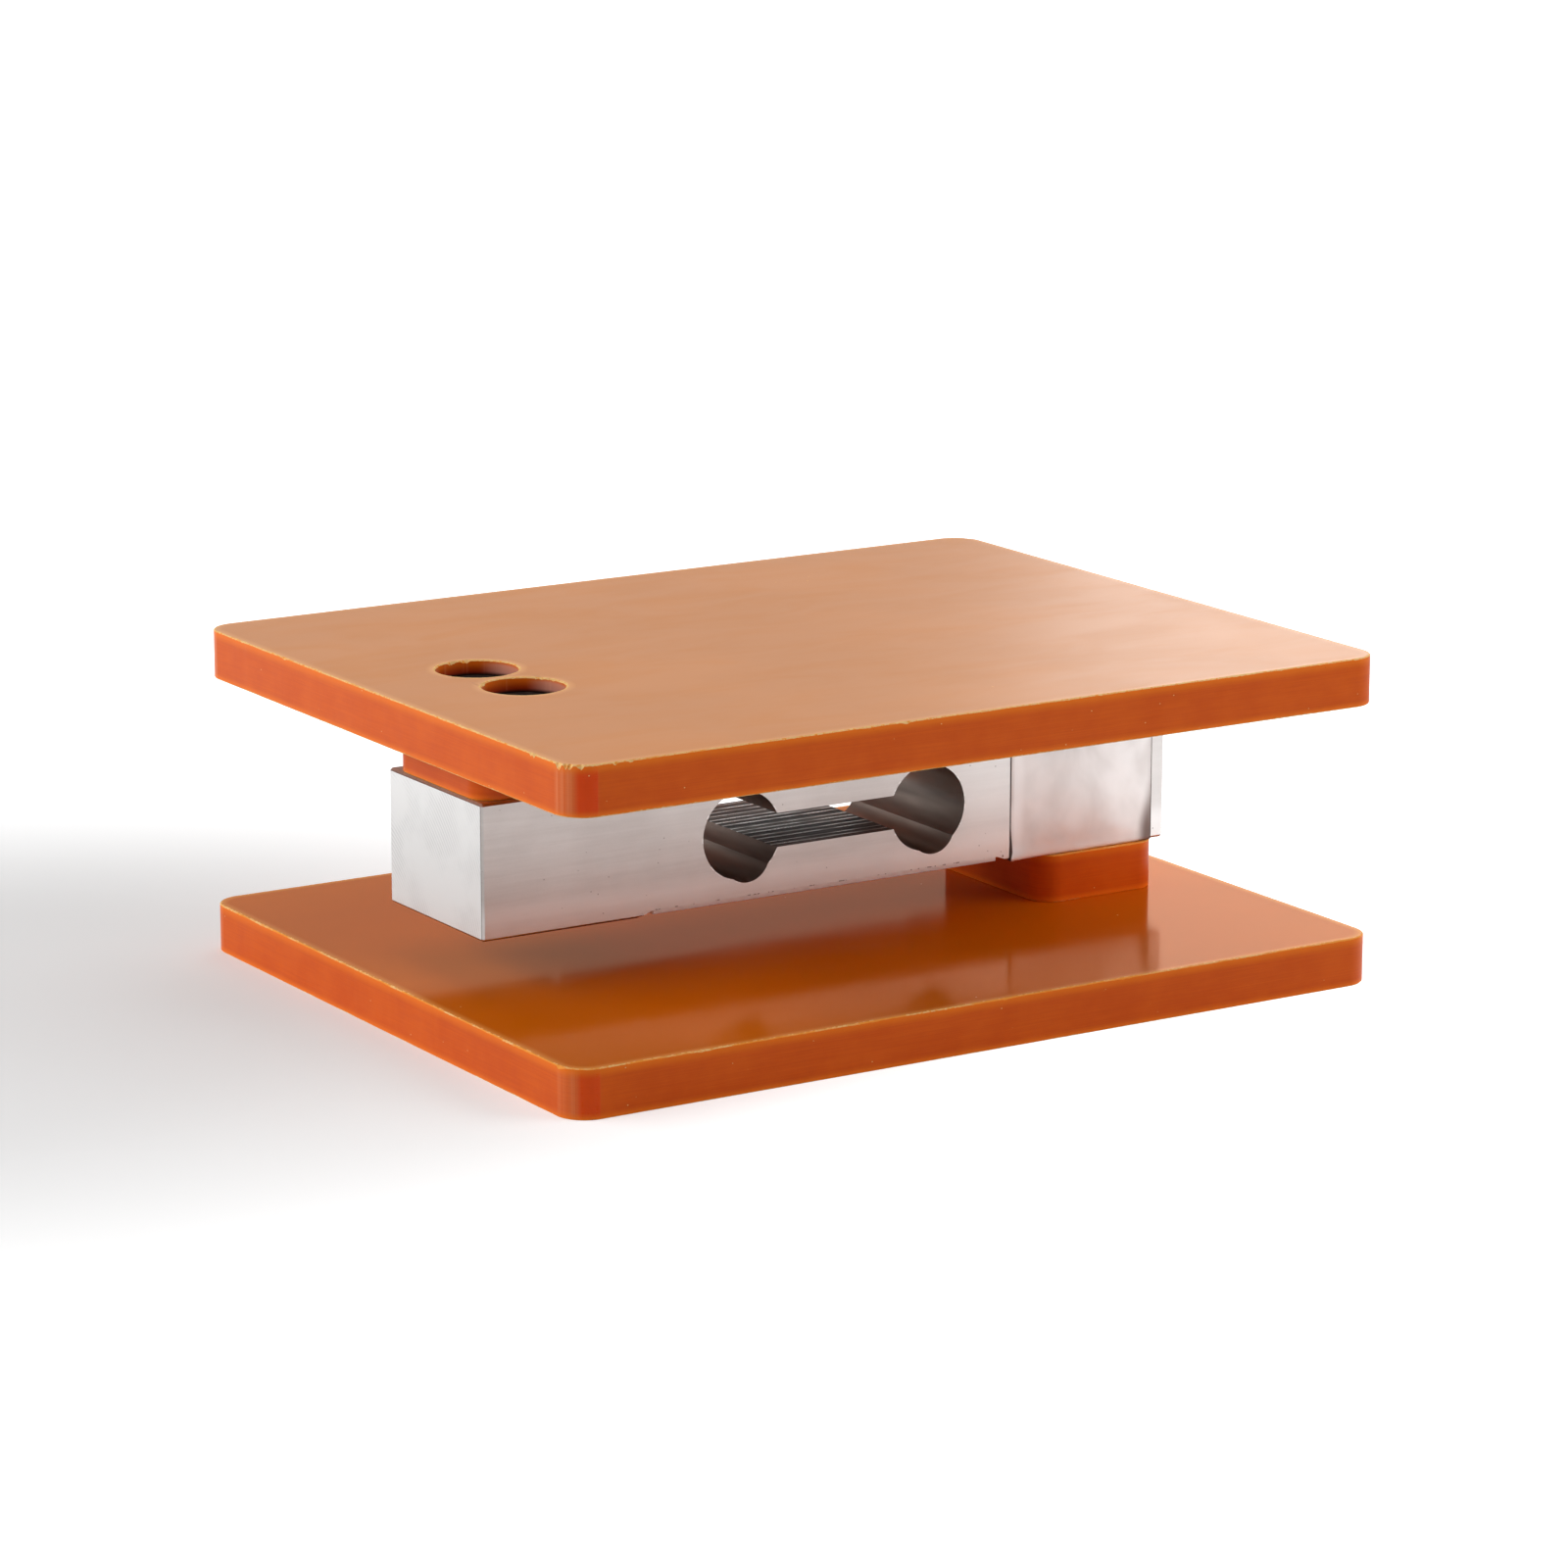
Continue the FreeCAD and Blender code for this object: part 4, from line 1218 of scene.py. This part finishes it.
@dataclass
class FoilWrap(Piece):
    """The band of foil round the beam's fixed end, slack over the terminal pocket and lifted at a corner."""

    node: str = "end_wrap"
    thickness: float = 0.00006
    corner_radius: float = 0.0005
    cuts: int = 90
    pitch: float = 0.00035
    bulge: float = 0.00030
    wrinkle: float = 0.00006
    edge_drop: float = 0.00010
    edge_reach: float = 0.0018
    lift: float = 0.0003
    lift_reach: float = 0.004
    screw_y: float = 0.0075
    screw_radius: float = 0.0033
    screw_sides: int = 48

    def build(self, screw_x: float) -> None:
        """Models the band and dresses it.

        Args:
            screw_x: where the fixed end's screws pass through it.
        """
        piece = self._band()
        self._press(piece)
        Modeller.apply(piece, "SOLIDIFY", thickness=self.thickness, offset=-1.0)
        through = (self.low.z - MM, self.low.z + 2 * MM)
        for y in (-self.screw_y, self.screw_y):
            Modeller.bore(piece, (screw_x, y), self.screw_radius, through, self.screw_sides)
        piece.data.materials.append(SatinFoil("wrap_foil", self.low.x, self.high.x, self.low.z).material())
        Modeller.shade(piece, 40.0)
        keep(piece, self.node)

    def _band(self) -> bpy.types.Object:
        """Makes an open box round the beam with rounded corners, divided finely along and across.

        Returns:
            The band, without thickness.
        """
        size = self.high - self.low
        piece = self.blank("end_wrap_foil")
        Modeller.pick_faces(piece, lambda face: abs(face.normal.x) > 0.9)
        bpy.ops.mesh.delete(type="FACE")
        Modeller.pick_edges(piece, lambda a, b: abs(a.x - b.x) > 0.5 * size.x)
        bpy.ops.mesh.bevel(offset=self.corner_radius, offset_type="OFFSET", segments=6, affect="EDGES")
        Modeller.pick_edges(piece, lambda a, b: abs(a.x - b.x) > 0.5 * size.x)
        bpy.ops.mesh.subdivide(number_cuts=self.cuts)
        for axis in (1, 2):
            flat = size[axis] - 2 * self.corner_radius
            Modeller.pick_edges(piece, lambda a, b: abs(a[axis] - b[axis]) > 0.9 * flat)
            bpy.ops.mesh.subdivide(number_cuts=round(flat / self.pitch))
        Modeller.finish_edit()
        return piece

    def _press(self, piece: bpy.types.Object) -> None:
        """Pushes the foil about as fingers would: down along its edges, out over the pocket, up at a corner.

        Args:
            piece: the band.
        """
        middle, half = (self.low + self.high) / 2, (self.high - self.low) / 2
        normals = [vertex.normal.copy() for vertex in piece.data.vertices]
        for vertex, normal in zip(piece.data.vertices, normals):
            point = vertex.co
            edge = min(point.x - self.low.x, self.high.x - point.x)
            settled = min(1.0, edge / self.edge_reach)
            settled = settled * settled * (3.0 - 2.0 * settled)
            across = (1.0 - ((point.z - middle.z) / half.z) ** 2) if abs(normal.y) > 0.5 else 0.0
            along = 1.0 - ((point.x - middle.x) / half.x) ** 2
            wrinkle = noise.noise(point / (6.0 * MM)) + 0.5 * noise.noise(point / (2.6 * MM))
            push = self.bulge * along * max(0.0, across) + self.wrinkle * wrinkle * settled
            push -= self.edge_drop * (1.0 - settled)
            corner = math.hypot(point.x - self.low.x, 1.4 * (point.z - self.low.z)) / self.lift_reach
            if normal.y < -0.5:
                push += self.lift * max(0.0, 1.0 - corner) ** 2
            vertex.co = point + normal * push
        piece.data.update()


@dataclass
class GaugeCoat(Piece):
    """The sealing coat in one of the beam's reliefs: a flat strip with soft, uneven edges."""

    thickness: float = 0.0007
    edge_radius: float = 0.00014
    waver: float = 0.00003

    def build(self) -> None:
        """Models the strip and dresses it."""
        floor_up = self.node.startswith("upper")
        if floor_up:
            self.low.z = self.high.z - self.thickness
        else:
            self.high.z = self.low.z + self.thickness
        piece = self.blank(f"{self.node}_coat")
        free = self.high.z if floor_up else self.low.z
        Modeller.pick_edges(piece, lambda a, b: abs(a.z - free) < ON_LEVEL and abs(b.z - free) < ON_LEVEL)
        bpy.ops.mesh.bevel(offset=self.edge_radius, offset_type="OFFSET", segments=3, affect="EDGES")
        length = self.high.x - self.low.x
        Modeller.pick_edges(piece, lambda a, b: abs(a.x - b.x) > 0.9 * length)
        for cuts in (11, 9):
            bpy.ops.mesh.subdivide(number_cuts=cuts)
        Modeller.finish_edit()
        for vertex in piece.data.vertices:
            point = vertex.co
            drift = noise.noise(point / (4.0 * MM)) + 0.5 * noise.noise(point / (1.5 * MM))
            inward = -math.copysign(1.0, point.y)
            point.y += inward * self.waver * (1.0 + drift)
            if abs(point.z - free) < NEAR_RIM:
                point.z += (-1.0 if floor_up else 1.0) * self.waver * (0.8 + drift)
        piece.data.update()
        piece.data.materials.append(SealingCoat(f"{self.node}_coat").material())
        Modeller.shade(piece, 50.0)
        keep(piece, self.node)


class Carried(Enum):
    """The CAD nodes that keep their own shape, with the finish each one takes."""

    BEAM = (MilledAluminium("milled_aluminium"), ("beam_body",))
    SCREWS = (BlackOxide("black_oxide"), ("top_screws", "base_screws"))
    GAUGES = (GaugeFilm("gauge_film"), ("upper_gauge_load_side", "upper_gauge_fixed_side",
                                        "lower_gauge_load_side", "lower_gauge_fixed_side"))
    LEADS = (LeadEnamel("lead_enamel"), ("upper_gauge_leads", "lower_gauge_leads"))
    BOARD = (BoardMask("board_mask"), ("terminal_board",))
    RESISTORS = (ChipCeramic("chip_ceramic"), ("board_resistors",))
    POTTING = (PottingFill("potting_fill"), ("pocket_potting",))

    def dress(self, nodes: Mapping[str, bpy.types.Object]) -> None:
        """Puts the finish on each node.

        Args:
            nodes: the frame's CAD objects by name.
        """
        finish, names = self.value
        material = finish.material()
        for name in names:
            nodes[name].data.materials.clear()
            nodes[name].data.materials.append(material)
            LOG.info("%s: %s", name, material.name)


@dataclass(frozen=True)
class Softbox:
    """A lamp with a broad face: its place, its width and height, and its power."""

    name: str
    place: tuple[float, float, float]
    size: tuple[float, float]
    power: float

    def build(self, target: Vector) -> None:
        """Makes the lamp.

        Args:
            target: the point that it faces.
        """
        bpy.ops.object.light_add(type="AREA", location=self.place)
        lamp = bpy.context.object
        lamp.name = self.name
        lamp.data.shape = "RECTANGLE"
        lamp.data.size, lamp.data.size_y = self.size
        lamp.data.energy = self.power
        lamp.rotation_euler = (target - Vector(self.place)).to_track_quat("-Z", "Y").to_euler()


@dataclass
class Studio:
    """The floor, the light and the camera."""

    azimuth: float = -32.1826
    elevation: float = 13.3591
    roll: float = 0.0590
    distance: float = 0.903922
    aside: float = -0.000323
    above: float = 0.0022695
    target_height: float = 0.028
    lens: float = 127.4191
    sensor_width: float = 36.0
    floor_reach: float = 6.0
    sky: float = 0.14
    mirrored_rear: float = 0.85
    mirrored_front: float = 0.10
    lamps: Sequence[Softbox] = (Softbox("left_softbox", (-0.84, 0.32, 0.45), (1.30, 0.50), 8.1),
                                Softbox("right_softbox", (0.46, -0.41, 0.36), (0.45, 0.30), 2.1),
                                Softbox("top_softbox", (0.45, 0.25, 0.95), (0.70, 0.70), 1.9),
                                Softbox("rear_softbox", (1.02, 0.96, 0.36), (0.50, 0.50), 1.4))

    def build(self) -> None:
        """Makes the floor, the light and the camera."""
        bpy.context.scene.view_settings.view_transform = "Standard"
        self._floor()
        self._sky()
        for lamp in self.lamps:
            lamp.build(Vector((0.0, 0.0, self.target_height)))
        self._camera()

    def _floor(self) -> None:
        """A pale floor that shows white to the camera, save for a painted shadow to the left of the part,
        where the floor's own shading shows through.
        """
        floor = Modeller.start(bpy.ops.mesh.primitive_plane_add, "floor", size=2 * self.floor_reach)
        floor.data.materials.append(PaleFloor("pale_floor").material())

    def _sky(self) -> None:
        """A dome that is white to the eye, dim as light, and in reflections dark on the camera's side."""
        world = bpy.data.worlds.new("studio")
        bpy.context.scene.world = world
        world.use_nodes = True
        tree = NodeTree(world.node_tree)
        x, y, _ = tree.axes()
        turn = math.radians(self.azimuth)
        rear = (y * math.cos(turn) - x * math.sin(turn)).step(-0.3, 0.6)
        mirrored = rear * (self.mirrored_rear - self.mirrored_front) + self.mirrored_front
        camera, glossy, transmission = tree.seen_by()
        reflected = glossy | transmission
        plain = 1.0 - (camera | reflected)
        background = world.node_tree.nodes["Background"]
        tree.feed(background.inputs["Strength"], (camera | (mirrored * reflected)) + plain * self.sky)
        tree.feed(background.inputs["Color"], (1.0, 1.0, 1.0))

    def _camera(self) -> None:
        """A long lens at the photograph's angle."""
        turn, tilt, roll = (math.radians(angle) for angle in (self.azimuth, self.elevation, self.roll))
        back = Vector((math.sin(turn) * math.cos(tilt), -math.cos(turn) * math.cos(tilt), math.sin(tilt)))
        right = Vector((math.cos(turn), math.sin(turn), 0.0))
        up = back.cross(right)
        right, up = (right * math.cos(roll) + up * math.sin(roll),
                     up * math.cos(roll) - right * math.sin(roll))
        place = Vector((0.0, 0.0, self.target_height)) + right * self.aside
        place += up * self.above + back * self.distance
        data = bpy.data.cameras.new("camera")
        data.lens = self.lens
        data.sensor_width = self.sensor_width
        camera = bpy.data.objects.new("camera", data)
        bpy.context.scene.collection.objects.link(camera)
        camera.matrix_world = Matrix.Translation(place) @ Matrix((right, up, back)).transposed().to_4x4()
        bpy.context.scene.camera = camera


def screw_line(node: str) -> float:
    """How far along the beam a pair of screws stands."""
    low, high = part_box(node)
    return (low.x + high.x) / 2


def blocks() -> Iterable[LaminateBlock]:
    """Describes the two plates and the two spacers, from the top down.

    Yields:
        Each block.
    """
    load_x, fixed_x = screw_line("top_screws"), screw_line("base_screws")
    top_chips = (Chip(-0.0748, -0.0562, 0.0006, 0.0008), Chip(-0.0744, -0.0574, 0.0004, 0.0006),
                 Chip(-0.0740, -0.0581, 0.0004, 0.0010), Chip(-0.0728, -0.0591, 0.0005, 0.0006),
                 Chip(-0.0750, -0.0484, 0.0004, 0.0006), Chip(-0.0750, -0.0493, 0.0004, 0.0007),
                 Chip(-0.0674, -0.0600, 0.0004, 0.0004), Chip(-0.0646, -0.0600, 0.0004, 0.0004),
                 Chip(-0.0163, -0.0600, 0.0008, 0.0003),
                 Chip(-0.0750, 0.0310, 0.0007, 0.0004), Chip(0.0740, 0.0570, 0.0010, 0.0008),
                 Chip(-0.0540, 0.0140, 0.0009, 0.0004), Chip(-0.0515, 0.0140, 0.0009, 0.0004),
                 Chip(-0.0575, -0.0026, 0.0008, 0.0006))
    yield LaminateBlock("top_plate", 0.005, load_x, Bored.TOP, top_chips, corner_paint=0.75, fray=0.46)
    yield LaminateBlock("top_spacer", 0.004, load_x)
    yield LaminateBlock("base_spacer", 0.004, fixed_x)
    base_chips = (Chip(-0.0745, -0.0560, 0.0010, 0.0005),)
    yield LaminateBlock("base_plate", 0.005, fixed_x, Bored.UNDERSIDE, base_chips,
                        gloss=0.11, resin=(0.64, 0.140, 0.001), ior=1.085, amber=0.11, corner_paint=0.6, fray=0.28)


def main() -> None:
    """Loads the frame, dresses it piece by piece and sets up the studio."""
    logging.basicConfig(level=logging.INFO, format="%(name)s %(message)s")
    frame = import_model()
    for block in blocks():
        block.build()
    FoilWrap().build(screw_line("base_screws"))
    for node in ("upper_gauge_cover", "lower_gauge_cover"):
        GaugeCoat(node).build()
    for carried in Carried:
        carried.dress(frame["nodes"])
    Studio().build()


if __name__ == "__main__":
    main()
